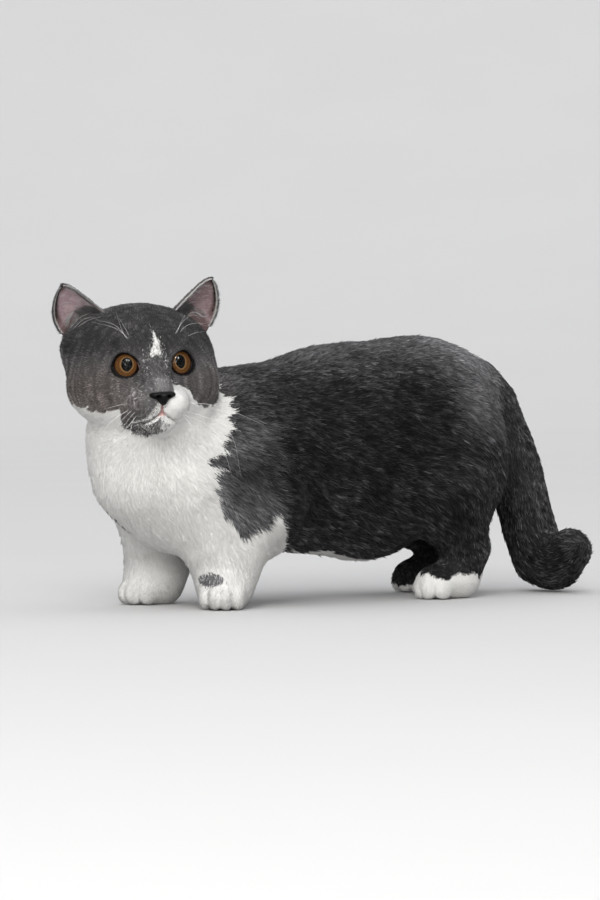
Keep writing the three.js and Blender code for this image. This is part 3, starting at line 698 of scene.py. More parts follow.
# Guides on both sides: x, distance to the side, shift along y, height, direction as x, outwards and up, reach
SIDE_GUIDES = [
    (-125, 20, -8, 112, 0.15, 0.15, -1, 26), (-138, 14, -8, 80, 0.1, 0.25, -1, 26),
    (-112, 46, -4, 95, 0.8, 0, -0.5, 16), (-100, 48, -4, 70, 0.75, 0, -0.65, 16),
    (-108, 30, -4, 50, 0.3, 0.3, -1, 16), (-84, 52, -4, 118, 1, 0, -0.25, 26),
    (-70, 56, -4, 85, 0.85, 0, -0.5, 20), (-66, 56, -4, 55, 0.7, 0, -0.7, 14),
    (-80, 36, 0, 38, 0.25, 0, -1, 14), (-88, 32, 0, 20, -0.35, 0, -0.9, 10),
    (-100, 34, 0, 8, -1, 0, -0.35, 9), (-20, 56, 0, 120, 1, 0, -0.15, 30),
    (-15, 58, 0, 80, 1, 0, -0.35, 26), (-10, 48, 0, 45, 0.9, -0.2, -0.5, 20),
    (45, 52, 0, 125, 1, 0, -0.15, 30), (45, 52, 0, 80, 0.95, 0, -0.35, 24),
    (45, 40, 0, 42, 0.8, 0, -0.6, 18), (95, 50, 0, 130, 1, 0, -0.4, 24),
    (100, 54, 0, 90, 0.7, 0, -0.75, 22), (100, 44, 0, 58, 0.4, 0, -0.95, 18),
    (108, 36, 0, 36, 0.15, 0, -1, 12), (104, 34, 0, 20, -0.3, 0, -0.9, 8),
    (86, 34, 0, 8, -1, 0, -0.3, 10), (135, 26, 0, 115, 0.7, 0, -0.8, 20), (138, 26, 0, 80, 0.2, 0, -1, 20),
]
# Guides along the middle: place, direction and reach
MIDDLE_GUIDES = [
    ([-100, -6, 140], [1, 0, 0.15], 24), ([-40, 0, 152], [1, 0, 0], 34), ([30, 0, 168], [1, 0, 0], 34),
    ([100, 0, 168], [1, 0, -0.25], 26), ([138, 0, 150], [0.85, 0, -0.55], 18), ([-20, 0, 36], [1, 0, 0], 28),
    ([40, 0, 26], [1, 0, 0], 28),
]


def guides():
    rows = list(MIDDLE_GUIDES)
    for side in SIDES:
        for x, apart, shift, z, along, out, up, reach in SIDE_GUIDES:
            rows.append(([x, side * apart + shift, z], [along, side * out, up], reach))
    middles = (TAIL_SPINE[1:] + TAIL_SPINE[:-1]) / 2
    return rows + [(middle, along, 15) for middle, along in zip(middles[1:], np.diff(TAIL_SPINE, axis=0)[1:])]


def coat_flow(points, normals):
    total = np.zeros_like(points)
    for place, direction, reach in guides():
        weight = np.exp(-np.sum((points - np.asarray(place)) ** 2, axis=1) / (2 * reach ** 2)) + 1e-9
        total += weight[:, None] * unit(np.asarray(direction, float))
    place = head_place(points)
    away = place - NOSE_FRONT
    away[:, 2] -= 14 * smooth(6, -14, place[:, 2]) * smooth(8, 26, np.abs(place[:, 1]))
    flow = unit(toward(unit(total), unit(away) @ HEAD_AXES, head_share(points)[:, None]))
    flat = flow - dots(flow, normals) * normals
    weak = np.linalg.norm(flat, axis=1) < 0.15
    flat[weak] = (DOWN_AND_BACK - dots(DOWN_AND_BACK, normals) * normals)[weak]
    return unit(flat)


# Making meshes

def new_mesh(name, vertices, faces, scalars=(), uv=None, normals=None):
    """A mesh object from vertices in metres, faces, named values per vertex and UVs per corner."""
    mesh = bpy.data.meshes.new(name)
    sizes = [len(face) for face in faces]
    corners = np.concatenate(list(faces))
    mesh.vertices.add(len(vertices))
    mesh.vertices.foreach_set("co", np.ascontiguousarray(vertices, np.float32).ravel())
    mesh.loops.add(len(corners))
    mesh.loops.foreach_set("vertex_index", corners.astype(np.int32))
    mesh.polygons.add(len(sizes))
    mesh.polygons.foreach_set("loop_start", np.cumsum([0] + sizes[:-1]).astype(np.int32))
    mesh.polygons.foreach_set("use_smooth", np.full(len(sizes), True))
    for label, values in dict(scalars).items():
        mesh.attributes.new(label, "FLOAT", "POINT").data.foreach_set("value", np.asarray(values, np.float32))
    if uv is not None:
        mesh.uv_layers.new(name="OFBake").data.foreach_set("uv", np.ascontiguousarray(uv, np.float32).ravel())
    mesh.update(calc_edges=True)
    if normals is not None:
        mesh.normals_split_custom_set_from_vertices(normals.tolist())
    piece = bpy.data.objects.new(name, mesh)
    bpy.context.scene.collection.objects.link(piece)
    return piece


def finish_piece(piece, material, slot, *nodes):
    piece.data.materials.append(material)
    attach(piece, "root")
    if nodes:
        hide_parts(*nodes)


def facing_out(faces, inside_out):
    return [face[::-1] for face in faces] if inside_out else faces


def ring_mesh(rings, hubs=(0, -1), looped=False):
    """Quads between rings of points, with a fan to the middle of each ring that has a hub."""
    count = rings.shape[1]
    vertices = rings.reshape(-1, 3)
    faces = []
    for r in range(len(rings) if looped else len(rings) - 1):
        here, there = r * count, (r + 1) % len(rings) * count
        for i in range(count):
            n = (i + 1) % count
            faces.append((here + i, here + n, there + n, there + i))
    for hub in hubs:
        base = hub % len(rings) * count
        fan = [(base + i, base + (i + 1) % count, len(vertices)) for i in range(count)]
        faces += [(b, a, top) for a, b, top in fan] if hub == 0 else fan
        vertices = np.vstack([vertices, rings[hub].mean(axis=0)])
    return vertices, faces


# A tuft is a closed blade: its left and right root, the top of its back and its tip
TUFT_FACES = np.array([[0, 2, 1], [0, 3, 2], [1, 2, 3], [0, 1, 3]])
TUFT_ALONG = np.array([0, 0, 0.4, 1.0])
TUFT_BEND = 0.38
TUFT_TILT = 0.28
PATCH = 0.0015
TUFT_PATCH = np.array([[-1, -1], [1, -1], [0, 0], [0, 1]]) * PATCH


def tuft_blades(roots, normals, flow, length, width, lift, droop, sink, roll, round_off):
    """The four points of each tuft and the normals that it is shaded with."""
    side = np.cross(flow, normals)
    turned = swung(side, normals, roll)
    first, second = swung(flow, normals, lift), swung(flow, normals, lift - droop)
    length, width, round_off = length[:, None], width[:, None], round_off[:, None]
    base = roots - normals * sink[:, None]
    bend = roots + first * length * TUFT_BEND
    tip = bend + second * length * (1 - TUFT_BEND)
    back = bend + normals * width * 0.3
    points = np.stack([base + turned * width / 2, base - turned * width / 2, back, tip], axis=1)
    tilt = TUFT_TILT * rng.standard_normal((len(roots), 1)) * flow
    tilt = normals + (tilt + TUFT_TILT * rng.standard_normal((len(roots), 1)) * side) * round_off
    spread = side * round_off
    return points, unit(np.stack([tilt + spread, tilt - spread, tilt, tilt + 0.3 * flow * round_off], axis=1))


def tuft_piece(name, points, shading, unwrap, scalars, slot):
    """points is tufts by four by three, in mm. unwrap is each root's place on the unwrapped skin, 0 to 1."""
    count, size = points.shape[:2]
    faces = (np.arange(count)[:, None, None] * size + TUFT_FACES).reshape(-1, 3)
    spread = {label: np.repeat(values, size) for label, values in scalars.items()}
    spread["along"] = np.tile(TUFT_ALONG, count)
    corners = np.clip(unwrap, 2 * PATCH, 1 - 2 * PATCH)[:, None, :] + TUFT_PATCH
    uv = corners[:, TUFT_FACES].reshape(-1, 2)
    piece = new_mesh(name, metres(points.reshape(-1, 3)), faces, spread, uv, shading.reshape(-1, 3))
    finish_piece(piece, coat, slot)


# Materials

GREY_HAIR = (0.98, 0.965, 1.0, 1)
BROWN_HAIR = (1.10, 0.97, 0.92, 1)
WHITE_HAIR = (0.9, 0.892, 0.868, 1)
PINK_SKIN = (0.55, 0.345, 0.325, 1)


class Look:
    """A material and its nodes. What is given for an input is linked if it is an output, and set otherwise."""

    def __init__(self, name):
        self.material = bpy.data.materials.new(name)
        self.material.use_nodes = True
        self.nodes = self.material.node_tree.nodes
        self.shader = self.nodes["Principled BSDF"]

    def feed(self, node, inputs):
        for name, value in inputs.items():
            if hasattr(value, "is_output"):
                self.material.node_tree.links.new(value, node.inputs[name])
            else:
                node.inputs[name].default_value = value

    def add(self, kind, inputs, **settings):
        node = self.nodes.new("ShaderNode" + kind)
        for key, value in settings.items():
            setattr(node, key, value)
        self.feed(node, inputs)
        return node.outputs

    def attribute(self, name):
        return self.add("Attribute", {}, attribute_name=name)["Fac"]

    def ramp(self, factor, *stops):
        node = self.nodes.new("ShaderNodeValToRGB")
        elements = node.color_ramp.elements
        while len(elements) < len(stops):
            elements.new(0.5)
        for element, (place, color) in zip(elements, stops):
            element.position = place
            element.color = (*color, 1) if isinstance(color, tuple) else (color, color, color, 1)
        self.feed(node, {0: factor})
        return node.outputs[0]

    def mix(self, factor, a, b, kind="MIX"):
        return self.add("Mix", {0: factor, 6: a, 7: b}, data_type="RGBA", blend_type=kind)[2]

    def times(self, *colors):
        product = colors[0]
        for color in colors[1:]:
            product = self.mix(1.0, product, color, "MULTIPLY")
        return product

    def noise(self, scale, detail, bump=0.0, distance=0.0003, vector=None):
        """Noise over the piece's own places, which can also raise the surface."""
        place = self.add("TexCoord", {})["Object"] if vector is None else vector
        value = self.add("TexNoise", {"Vector": place, "Scale": scale, "Detail": detail})["Fac"]
        if bump:
            raised = self.add("Bump", {"Strength": bump, "Distance": distance, "Height": value})
            self.feed(self.shader, {"Normal": raised["Normal"]})
        return value

    def done(self, color, roughness, specular=0.5, sheen=0.0):
        self.feed(self.shader, {"Base Color": color, "Roughness": roughness, "Specular IOR Level": specular,
                                "Sheen Weight": sheen, "Sheen Roughness": 0.5})
        return self.material


def coat_material(name, root_dark, tip_light, root_white, bump=0.0):
    """Grey and white hair by the mark of each tuft, darker at the root as painted shade between the hairs, and
    pink where the skin is bare.
    """
    look = Look(name)
    along = look.attribute("along")
    tint = look.mix(look.attribute("warm"), GREY_HAIR, BROWN_HAIR)
    # Painted shade: both ramps darken the root end of each tuft, where shade falls between the hairs
    root_shade_and_tip = look.ramp(along, (0.0, root_dark), (0.5, 1.0), (1.0, tip_light))
    pale = look.ramp(along, (0.0, root_white), (0.4, 1.0))
    grey = look.times(tint, look.attribute("level"), root_shade_and_tip)
    white = look.times(WHITE_HAIR, look.attribute("tone"), pale)
    color = look.mix(look.attribute("mark"), grey, white)
    color = look.mix(look.attribute("pink"), color, PINK_SKIN)
    if bump:
        look.noise(900, 3, bump, 0.0006)
    return look.done(color, 0.6, 0.06, 0.04)


def plain_material(name, color, roughness, scale, contrast, bump=0.0, specular=0.5):
    look = Look(name)
    dark, light = (tuple(min(value * share, 1) for value in color) for share in (1 - contrast, 1 + contrast))
    tint = look.ramp(look.noise(scale, 4, bump), (0.3, dark), (0.7, light))
    return look.done(tint, roughness, specular)


coat = coat_material("coat", 0.16, 1.7, 0.86)
skin_coat = coat_material("skin_under_coat", 0.3, 1.0, 0.9, bump=0.5)

# The skin

# Painted shade: the skin takes the dark root end of the ramps, standing in for the shade under the coat
SKIN_CHANCE, SKIN_TONE, SKIN_ALONG = 0.35, 0.9, 0.15
everywhere = np.ones(len(skin_vertices))
skin_scalars = {
    "mark": marks(skin_vertices, SKIN_CHANCE * everywhere),
    "level": grey_level(skin_vertices),
    "tone": SKIN_TONE * everywhere,
    "along": SKIN_ALONG * everywhere,
    "pink": pinkness(skin_vertices),
    "warm": warmth(skin_vertices),
}
skin = new_mesh("skin", metres(skin_vertices), skin_quads, skin_scalars)
FLESH = ["neck", "chest", "belly", "rump", "tail_root", "tail_middle", "tail_tip", "head"]
for name in ("left", "right"):
    FLESH += [f"{part}_{name}" for part in ("foreleg", "forepaw", "thigh", "shank", "hindpaw")]
finish_piece(skin, skin_coat, "grey_coat", *FLESH)

# The roots of the tufts, spread over the skin

TRIANGLES = skin_quads[:, [0, 1, 2, 0, 2, 3]].reshape(-1, 3)
LOWEST_ROOT, LOWEST_HAIR = 1.2, 0.15


def bare(points):
    """1 where no tuft grows: the opening of the lids and its rim, the nose leather, the lips and the soles."""
    place = head_place(points)
    x, y, z = place.T
    value = (x > 44) & (z < -12.6) & (z > -20.6) & (np.abs(y) < 1.4 + 6.4 * np.clip((z + 20.6) / 7, 0, 1))
    for side in SIDES:
        along = eye_local(place, side)
        value |= in_front_of_opening(along, LID_RIM) & (np.linalg.norm(along, axis=1) < EYE_RADIUS + 4)
    return value | (pinkness(points) > 0.3) | (points[:, 2] < LOWEST_ROOT)


def density(points):
    """Tufts to a square mm."""
    rate = 1.3 + 0.3 * leg_share(points) + 0.2 * head_share(points) + 1.1 * face_share(points)
    return rate * QUICK_SHARE


def scatter():
    """Roots and normals over the skin, evenly by its area times the density."""
    a, b, c = (skin_vertices[TRIANGLES[:, i]] for i in range(3))
    middle = (a + b + c) / 3
    area = np.linalg.norm(np.cross(b - a, c - a), axis=1) / 2
    weight = np.cumsum(area * density(middle) * (1 - bare(middle)))
    count = int(weight[-1])
    at = (np.arange(count) + rng.random(count)) * weight[-1] / count
    which = np.minimum(np.searchsorted(weight, at), len(area) - 1)
    u, v = rng.random((2, count))
    over = u + v > 1
    u, v = np.where(over, 1 - u, u), np.where(over, 1 - v, v)
    shares = np.stack([1 - u - v, u, v], axis=1)[:, :, None]
    corners = TRIANGLES[which]
    roots, normals = (np.sum(values[corners] * shares, axis=1) for values in (skin_vertices, skin_normals))
    return roots, unit(normals)


roots, normals = scatter()
flow = coat_flow(roots, normals)
count = len(roots)
chance = rng.random(count)
mark = marks(roots, chance)
share_head, share_leg, share_face = head_share(roots), leg_share(roots), face_share(roots)

# Each tuft's turn from the lie, its rise from the skin and its size
swirl = 0.26 * lattice_noise(roots, 15, 21) + 0.2 * lattice_noise(roots, 5, 22)
swirl = swirl + 0.17 * rng.standard_normal(count)
flow = swung(flow, np.cross(normals, flow), swirl * (1 - 0.3 * share_face))
lift = 0.42 + 0.1 * lattice_noise(roots, 7, 23) + 0.1 * rng.standard_normal(count) - 0.1 * mark
lift = lift - 0.16 * tail_share(roots) - 0.1 * smooth(120, 155, roots[:, 2]) * (1 - share_head)
depth = coat_depth(roots)
length = np.maximum(depth * (1.5 + 0.6 * rng.random(count)) * (1 - 0.2 * share_face), 1.3)
width = 0.64 - 0.2 * share_face - 0.04 * share_head - 0.18 * share_leg * smooth(40, 10, roots[:, 2])
width = width * (0.7 + 0.5 * rng.random(count)) * (1 - 0.15 * mark) * 1.0
droop = 0.3 + 0.15 * rng.random(count)
roll = 0.4 * rng.standard_normal(count)
sink = 0.2 + 0.04 * depth
points, shading = tuft_blades(roots, normals, flow, length, width, lift, droop, sink, roll, 0.85 - 0.55 * mark)
points[:, :, 2] = np.maximum(points[:, :, 2], LOWEST_HAIR)

# Each tuft's lightness: locks along the lie of the body, and ripples round the nose on the face
tone = 1 - (0.1 + 0.12 * share_face) * rng.random(count)
# Painted shade: the white of the forelegs is darker, more so towards the floor
tone = tone - share_leg * (roots[:, 0] < 0) * (0.16 + 0.1 * smooth(24, 8, roots[:, 2]))
grey = grey_level(roots)
stretched = roots @ np.array([[0.2, 0, 0.25], [0, 0.5, 0], [0, 0, 0.72]])
body_clumps = 1.2 * lattice_noise(stretched, 1, 24) + 0.5 * lattice_noise(roots, 2.0, 25)
away = head_place(roots) - NOSE_FRONT
run = np.linalg.norm(away, axis=1, keepdims=True)
rippled = np.hstack([run / 1.35, away[:, :2] / run * 20])
face_clumps = 0.95 * lattice_noise(rippled, 1, 26) + 0.15 * lattice_noise(roots, 6.0, 27)
clumps = toward(body_clumps, face_clumps, share_head)
even = 1 - 0.45 * smooth(0.035, 0.08, grey) * (1 - share_head)
level = grey * np.exp(even * ((1.0 - 0.4 * share_face) * rng.uniform(-1, 1, count) + clumps) - 0.2)
look_of_tufts = {"mark": mark, "level": level, "tone": tone, "warm": warmth(roots)}

# Pieces of the coat, each with its own unwrap of the skin round an axis

MOST_TUFTS = 48000
CHEST_END, BARREL_END = -70, 45
FACE_START = 14


def unwrap_round(points, centre, axis, low, high):
    """The angle round an axis through a centre, and the place along it from low to high."""
    away = points - np.asarray(centre, float)
    first, second = [i for i in range(3) if i != axis]
    angle = np.arctan2(away[:, second], away[:, first]) / (2 * math.pi) + 0.5
    return np.stack([angle, (points[:, axis] - low) / (high - low)], axis=1)


def coat_regions():
    """The name, the tufts, the unwrap and the slot of each region."""
    place = head_place(roots)
    x, y, z = roots.T
    head = share_head > 0.5
    tail = ~head & (tail_share(roots) > 0.5)
    leg = ~head & ~tail & (share_leg > 0.4) & (z < 50)
    trunk = ~head & ~tail & ~leg
    face = place[:, 0] > FACE_START
    yield "coat_face", head & face, unwrap_round(place, [0, 0, 0], 0, FACE_START, 58), "head_coat"
    yield "coat_crown", head & ~face, unwrap_round(place, [0, 0, 0], 0, -52, 58), "head_coat"
    for name, part, low, high, slot in (
        ("coat_chest", x < CHEST_END, -160, CHEST_END, "white_coat"),
        ("coat_barrel", (x >= CHEST_END) & (x < BARREL_END), CHEST_END, BARREL_END, "grey_coat"),
        ("coat_rump", x >= BARREL_END, BARREL_END, 165, "grey_coat"),
    ):
        yield name, trunk & part, unwrap_round(roots, [0, 0, 95], 0, low, high), slot
    for end, part, heel in (("fore", x < 0, fore_heel), ("hind", x >= 0, hind_heel)):
        for name, half, side in (("left", y < 0, -1), ("right", y >= 0, 1)):
            unwrap = unwrap_round(roots, heel(side), 2, 0, 56)
            yield f"coat_{end}leg_{name}", leg & part & half, unwrap, "white_coat"
    yield "coat_tail", tail, unwrap_round(roots, [180, -6, 0], 2, 0, 160), "tail_coat"


for name, part, unwrap, slot in coat_regions():
    chosen = np.flatnonzero(part)
    chosen = chosen[np.argsort(unwrap[chosen, 1], kind="stable")]
    lots = max(1, math.ceil(len(chosen) / MOST_TUFTS))
    for number, lot in enumerate(np.array_split(chosen, lots)):
        label = name if lots == 1 else f"{name}_{number + 1}"
        scalars = {key: values[lot] for key, values in look_of_tufts.items()}
        tuft_piece(label, points[lot], shading[lot], unwrap[lot], scalars, slot)

# The eyes

GAZE = {-1: (20, 5), 1: (20, 7)}
EYE_ROUND, LID_POINTS = 56, 72
IRIS_RADIUS = 7.4
IRIS_DEPTH = 7.5
LIMBUS = IRIS_RADIUS + 0.5
CORNEA_RISE = 11.2
PUPIL_SHIFT = np.array([0.9, 0.7])
MOST_CORNEA_GLOSS = 0.012
# The margin of the lids in section, as run away from the opening and rise above the ball
LID_PROFILE = [(-0.35, -0.35), (-0.2, 0.3), (0.2, 0.72), (0.7, 0.95), (1.2, 0.92), (1.7, 0.5), (2.3, -0.4),
               (1.6, -0.9), (0.6, -0.8)]
eye_angle = np.arange(EYE_ROUND) * 2 * math.pi / EYE_ROUND
circle = np.stack([np.cos(eye_angle), np.sin(eye_angle)], axis=1)


def eye_place(side, turn, pitch, local):
    """Places in metres of points given in mm as towards the nose, up and along the gaze."""
    return metres(from_head(EYE_AT * [1, side, 1] + local @ eye_axes(side, turn, pitch)))


def pupil_radius(angle):
    """An upright oval, a little pointed below."""
    c, s = np.cos(angle), np.sin(angle)
    half_width, half_height = 3.5, np.where(s < 0, 4.5, 4.1)
    oval = 1 / np.sqrt((c / half_width) ** 2 + (s / half_height) ** 2)
    return oval * (1 - 0.07 * bell(c, 0.55, 0.25) * (s < 0))


def level_ring(outline, height):
    return np.column_stack([outline, np.full(len(outline), height)])


def eye_rings():
    """Rings from the back of the ball over its side, down to the iris and into the pupil."""
    rings, radial = [], []
    for around in np.linspace(math.pi - 0.15, math.asin(IRIS_RADIUS / EYE_RADIUS), 14):
        rings.append(level_ring(circle * EYE_RADIUS * math.sin(around), EYE_RADIUS * math.cos(around)))
        radial.append(1.2)
    edge_radius = pupil_radius(eye_angle)[:, None]
    for t in np.linspace(0.0, 1.0, 12):
        outline = circle * toward(IRIS_RADIUS - 0.15, edge_radius, t) + PUPIL_SHIFT * t
        rings.append(level_ring(outline, IRIS_DEPTH - 0.1 + 0.5 * t))
        radial.append(1 - t)
    for shrink, rise in ((0.97, 0.1), (0.9, -0.8), (0.3, -1.4)):
        rings.append(level_ring(circle * edge_radius * shrink + PUPIL_SHIFT, IRIS_DEPTH + rise))
        radial.append(-0.3)
    return np.array(rings), radial


def cornea_rings():
    base = math.sqrt((EYE_RADIUS + 0.1) ** 2 - LIMBUS ** 2)
    rings = [level_ring(circle * (LIMBUS - 1.2), IRIS_DEPTH - 3.0)]
    for t in np.linspace(1, 0.04, 14):
        rings.append(level_ring(circle * LIMBUS * t, toward(base, CORNEA_RISE, (1 - t * t) ** 0.85)))
    return np.array(rings)


def lid_rings(line):
    """A rounded rim along the opening, which rests on the ball and sinks into the skin."""
    depth_on_ball = np.sqrt(np.maximum(EYE_RADIUS ** 2 - np.sum(line ** 2, axis=1), 4.0))
    outward = unit(np.column_stack([line, depth_on_ball]))
    along_line = unit(np.roll(outward, -1, axis=0) - np.roll(outward, 1, axis=0))
    away = unit(np.cross(along_line, outward))
    if np.sum(away[:, :2] * line) < 0:
        away = -away
    rings = []
    for run, rise in LID_PROFILE:
        angle = run / EYE_RADIUS
        rings.append((outward * math.cos(angle) + away * math.sin(angle)) * (EYE_RADIUS + rise))
    return np.array(rings)


def iris_material():
    look = Look("iris")
    radial = look.attribute("radial")
    shifted = look.add("Math", {0: radial, 1: 0.68, 2: 0.22}, operation="MULTIPLY_ADD")[0]
    tint = look.ramp(
        shifted,
        (0.0, (0.001, 0.001, 0.001)), (0.2, (0.002, 0.0015, 0.0015)), (0.235, (0.2, 0.115, 0.047)),
        (0.34, (0.17, 0.085, 0.028)), (0.42, (0.08, 0.033, 0.009)), (0.68, (0.1, 0.043, 0.011)),
        (0.8, (0.045, 0.016, 0.005)), (0.86, (0.004, 0.003, 0.002)),
    )
    spokes = look.add("CombineXYZ", {0: look.attribute("spoke_x"), 1: look.attribute("spoke_y"), 2: radial})[0]
    grain = look.ramp(look.noise(7.0, 5, vector=spokes), (0.32, 0.62), (0.68, 1.3))
    return look.done(look.mix(0.8, tint, grain, "MULTIPLY"), 0.6, 0.02)


def cornea_material():
    look = Look("cornea")
    look.nodes.remove(look.shader)
    clear = look.add("BsdfTransparent", {})[0]
    gloss = look.add("BsdfGlossy", {"Roughness": 0.14})[0]
    facing = look.add("Fresnel", {"IOR": 1.28})[0]
    share = look.add("Math", {0: facing, 1: MOST_CORNEA_GLOSS}, operation="MINIMUM")[0]
    both = look.add("MixShader", {0: share, 1: clear, 2: gloss})[0]
    look.feed(look.nodes["Material Output"], {"Surface": both})
    return look.material


def lid_material():
    """Black rims, with a greyish pink corner beside the nose."""
    look = Look("lid_margin")
    color = look.mix(look.attribute("corner"), (0.004, 0.003, 0.003, 1), (0.24, 0.15, 0.15, 1))
    return look.done(color, 0.4, 0.05)


iris_look, cornea_look, lid_look = iris_material(), cornea_material(), lid_material()

for side, name in ((-1, "right"), (1, "left")):
    rings, radial = eye_rings()
    vertices, faces = ring_mesh(rings)
    hubs = [[0, 0], [0, 0]]
    spokes = np.vstack([np.tile(circle, (len(radial), 1)), hubs])
    scalars = {"radial": np.concatenate([np.repeat(radial, EYE_ROUND), [1.2, -0.2]]),
               "spoke_x": spokes[:, 0], "spoke_y": spokes[:, 1]}
    ball = new_mesh(f"eyeball_{name}", eye_place(side, *GAZE[side], vertices), facing_out(faces, side < 0),
                    scalars)
    finish_piece(ball, iris_look, "eye_glass", f"eye_{name}")
    vertices, faces = ring_mesh(cornea_rings())
    cornea = new_mesh(f"cornea_{name}", eye_place(side, *GAZE[side], vertices), facing_out(faces, side < 0))
    finish_piece(cornea, cornea_look, "eye_glass")
    line = lid_line(LID_POINTS)
    vertices, faces = ring_mesh(lid_rings(line), hubs=(), looped=True)
    corner = smooth(EYE_OPENING[0], EYE_OPENING[0] * 1.2, line[:, 0])
    lids = new_mesh(f"lids_{name}", eye_place(side, EYE_TURN_OUT, 0, vertices), facing_out(faces, side > 0),
                    {"corner": np.tile(corner, len(LID_PROFILE))})
    finish_piece(lids, lid_look, "nose_leather")

# The nose leather, from a small field of its own: a pad, two wings and two nostrils with their slits

NOSE_TOP = -13.0
NOSE_HALF = 12
NOSE_STEP = 0.35
nose_look = plain_material("nose_leather", (0.0026, 0.0022, 0.0022), 0.45, 2600, 0.35, 0.5, 0.12)


def nose_values(xs, ys, zs):
    pieces = [
        head_mass([51.2, 0.2, -15.6], [5.8, 5.2, 3.0], 1),
        head_mass([52.0, 0, -18.3], [4.2, 2.4, 2.9], 2.4),
    ]
    pieces += [head_mass([50.6, side * 5.0, -14.9], [4.6, 3.1, 2.0], 1.6) for side in SIDES]
    solid = form_on_grid(pieces, xs, ys, zs)
    grid = np.stack(np.meshgrid(xs, ys, zs, indexing="ij"), axis=-1)
    for side in SIDES:
        hole_ends = from_head([[57.0, side * 2.4, -16.2], [53.0, side * 4.0, -15.6]])
        slit_ends = from_head([[55.4, side * 3.8, -16.6], [52.4, side * 6.8, -16.8]])
        hole = limb(*hole_ends, 1.05, 0.9, 0.5)[3](grid)
        slit = limb(*slit_ends, 0.55, 0.45, 0.5)[3](grid)
        solid = -melt(-solid, melt(hole, slit, 0.6), 0.5)
    return -melt(-solid, NOSE_TOP - head_place(grid)[..., 2], 0.8)


nose_lines = [np.arange(c - NOSE_HALF, c + NOSE_HALF, NOSE_STEP) for c in from_head([51.5, 0, -16.5])]
nose_vertices, nose_quads = surface_nets(nose_values(*nose_lines), *nose_lines)
finish_piece(new_mesh("nose_leather", metres(nose_vertices), nose_quads), nose_look, "nose_leather", "nose")

# The ears: a leaf with a hollowed front and a thin rounded rim

EAR_BASE = np.array([-6, 34.2, 30.0])
EAR_TIP = np.array([-3, 46.8, 54.0])
EAR_HALF_WIDTH = 15.5
EAR_OUTER_BULGE = 2
EAR_DEPTH = 12.4
EAR_TURN_OUT = 32
EAR_THICKNESS = 1.1
EAR_COLUMNS, EAR_ROWS, EAR_ROOT = 29, 25, -0.32
# Painted shade over the whole inside of each ear, much stronger on the left ear
EAR_PAINTED_SHADE = {-1: 0.05, 1: 0.45}


def ear_material():
    """Mauve pink skin, dark brown along a band inside the upper edge, and darkened in the pocket at its base by
    dark brown and painted shade.
    """
    look = Look("ear_skin")
    tint = look.ramp(look.noise(260, 4, 0.25), (0.35, (0.34, 0.235, 0.26)), (0.65, (0.47, 0.35, 0.37)))
    return look.done(look.mix(look.attribute("shade"), tint, (0.055, 0.025, 0.02, 1)), 0.6, 0.2, 0.08)


def ear_front(side):
    up = unit((EAR_TIP - EAR_BASE) * [1, side, 1])
    out = math.radians(EAR_TURN_OUT) * side
    across = unit(np.cross(up, [math.cos(out), math.sin(out), 0]))
    return across, up, np.cross(across, up)


def ear_surface(side, s, v, inset):
    """Places in head mm on the leaf, for s from edge to edge and v from base to tip."""
    across, up, front = ear_front(side)
    height = np.linalg.norm(EAR_TIP - EAR_BASE) * 0.99
    taper = (1 - np.clip(v, 0, 1) ** 1.6) ** 0.65
    bulge = EAR_OUTER_BULGE * side * np.sin(math.pi * np.clip(v, 0, 1))
    half_width = np.maximum(EAR_HALF_WIDTH * taper - 0.8 * inset, 0.4)
    cup = np.maximum(EAR_DEPTH * taper - inset, 0.1) * (1 - s * s)
    flat = EAR_BASE * [1, side, 1] + up * (height * v)[..., None] + across * (half_width * s + bulge)[..., None]
    return flat - front * cup[..., None]


def ear_grid(top):
    return np.meshgrid(np.linspace(-1, 1, EAR_COLUMNS), np.linspace(EAR_ROOT, top, EAR_ROWS))


def ear_leaf(side):
    """A closed leaf: the back face, the front face inside it, and the rim between them."""
    columns, rows = EAR_COLUMNS, EAR_ROWS
    s, v = ear_grid(0.965)
    back = ear_surface(side, *ear_grid(0.985), 0).reshape(-1, 3)
    front = ear_surface(side, s, v, EAR_THICKNESS).reshape(-1, 3)
    shift = columns * rows
    faces = []
    for r in range(rows - 1):
        for c in range(columns - 1):
            a = r * columns + c
            faces.append((a, a + 1, a + columns + 1, a + columns))
            faces.append((shift + a, shift + a + columns, shift + a + columns + 1, shift + a + 1))
    loop = list(range(columns))
    loop += [r * columns + columns - 1 for r in range(1, rows)]
    loop += [(rows - 1) * columns + c for c in range(columns - 2, -1, -1)]
    loop += [r * columns for r in range(rows - 2, 0, -1)]
    for a, b in zip(loop, loop[1:] + loop[:1]):
        faces.append((b, a, shift + a, shift + b))
    s, v = s.ravel(), v.ravel()
    # Painted shade in the pocket at the base, partly its own dark brown
    pocket = 0.85 * smooth(0.3, 0.05, v) * smooth(-0.5, 0.2, s * side)
    band = 0.85 * smooth(0.72, 0.9, np.abs(s)) * smooth(0.05, 0.3, v)
    top = 0.8 * smooth(0.82, 0.92, v)
    shade = np.maximum.reduce([pocket, band, top, np.full(shift, EAR_PAINTED_SHADE[side])])
    return np.vstack([back, front]), faces, np.concatenate([np.ones(shift), shade])


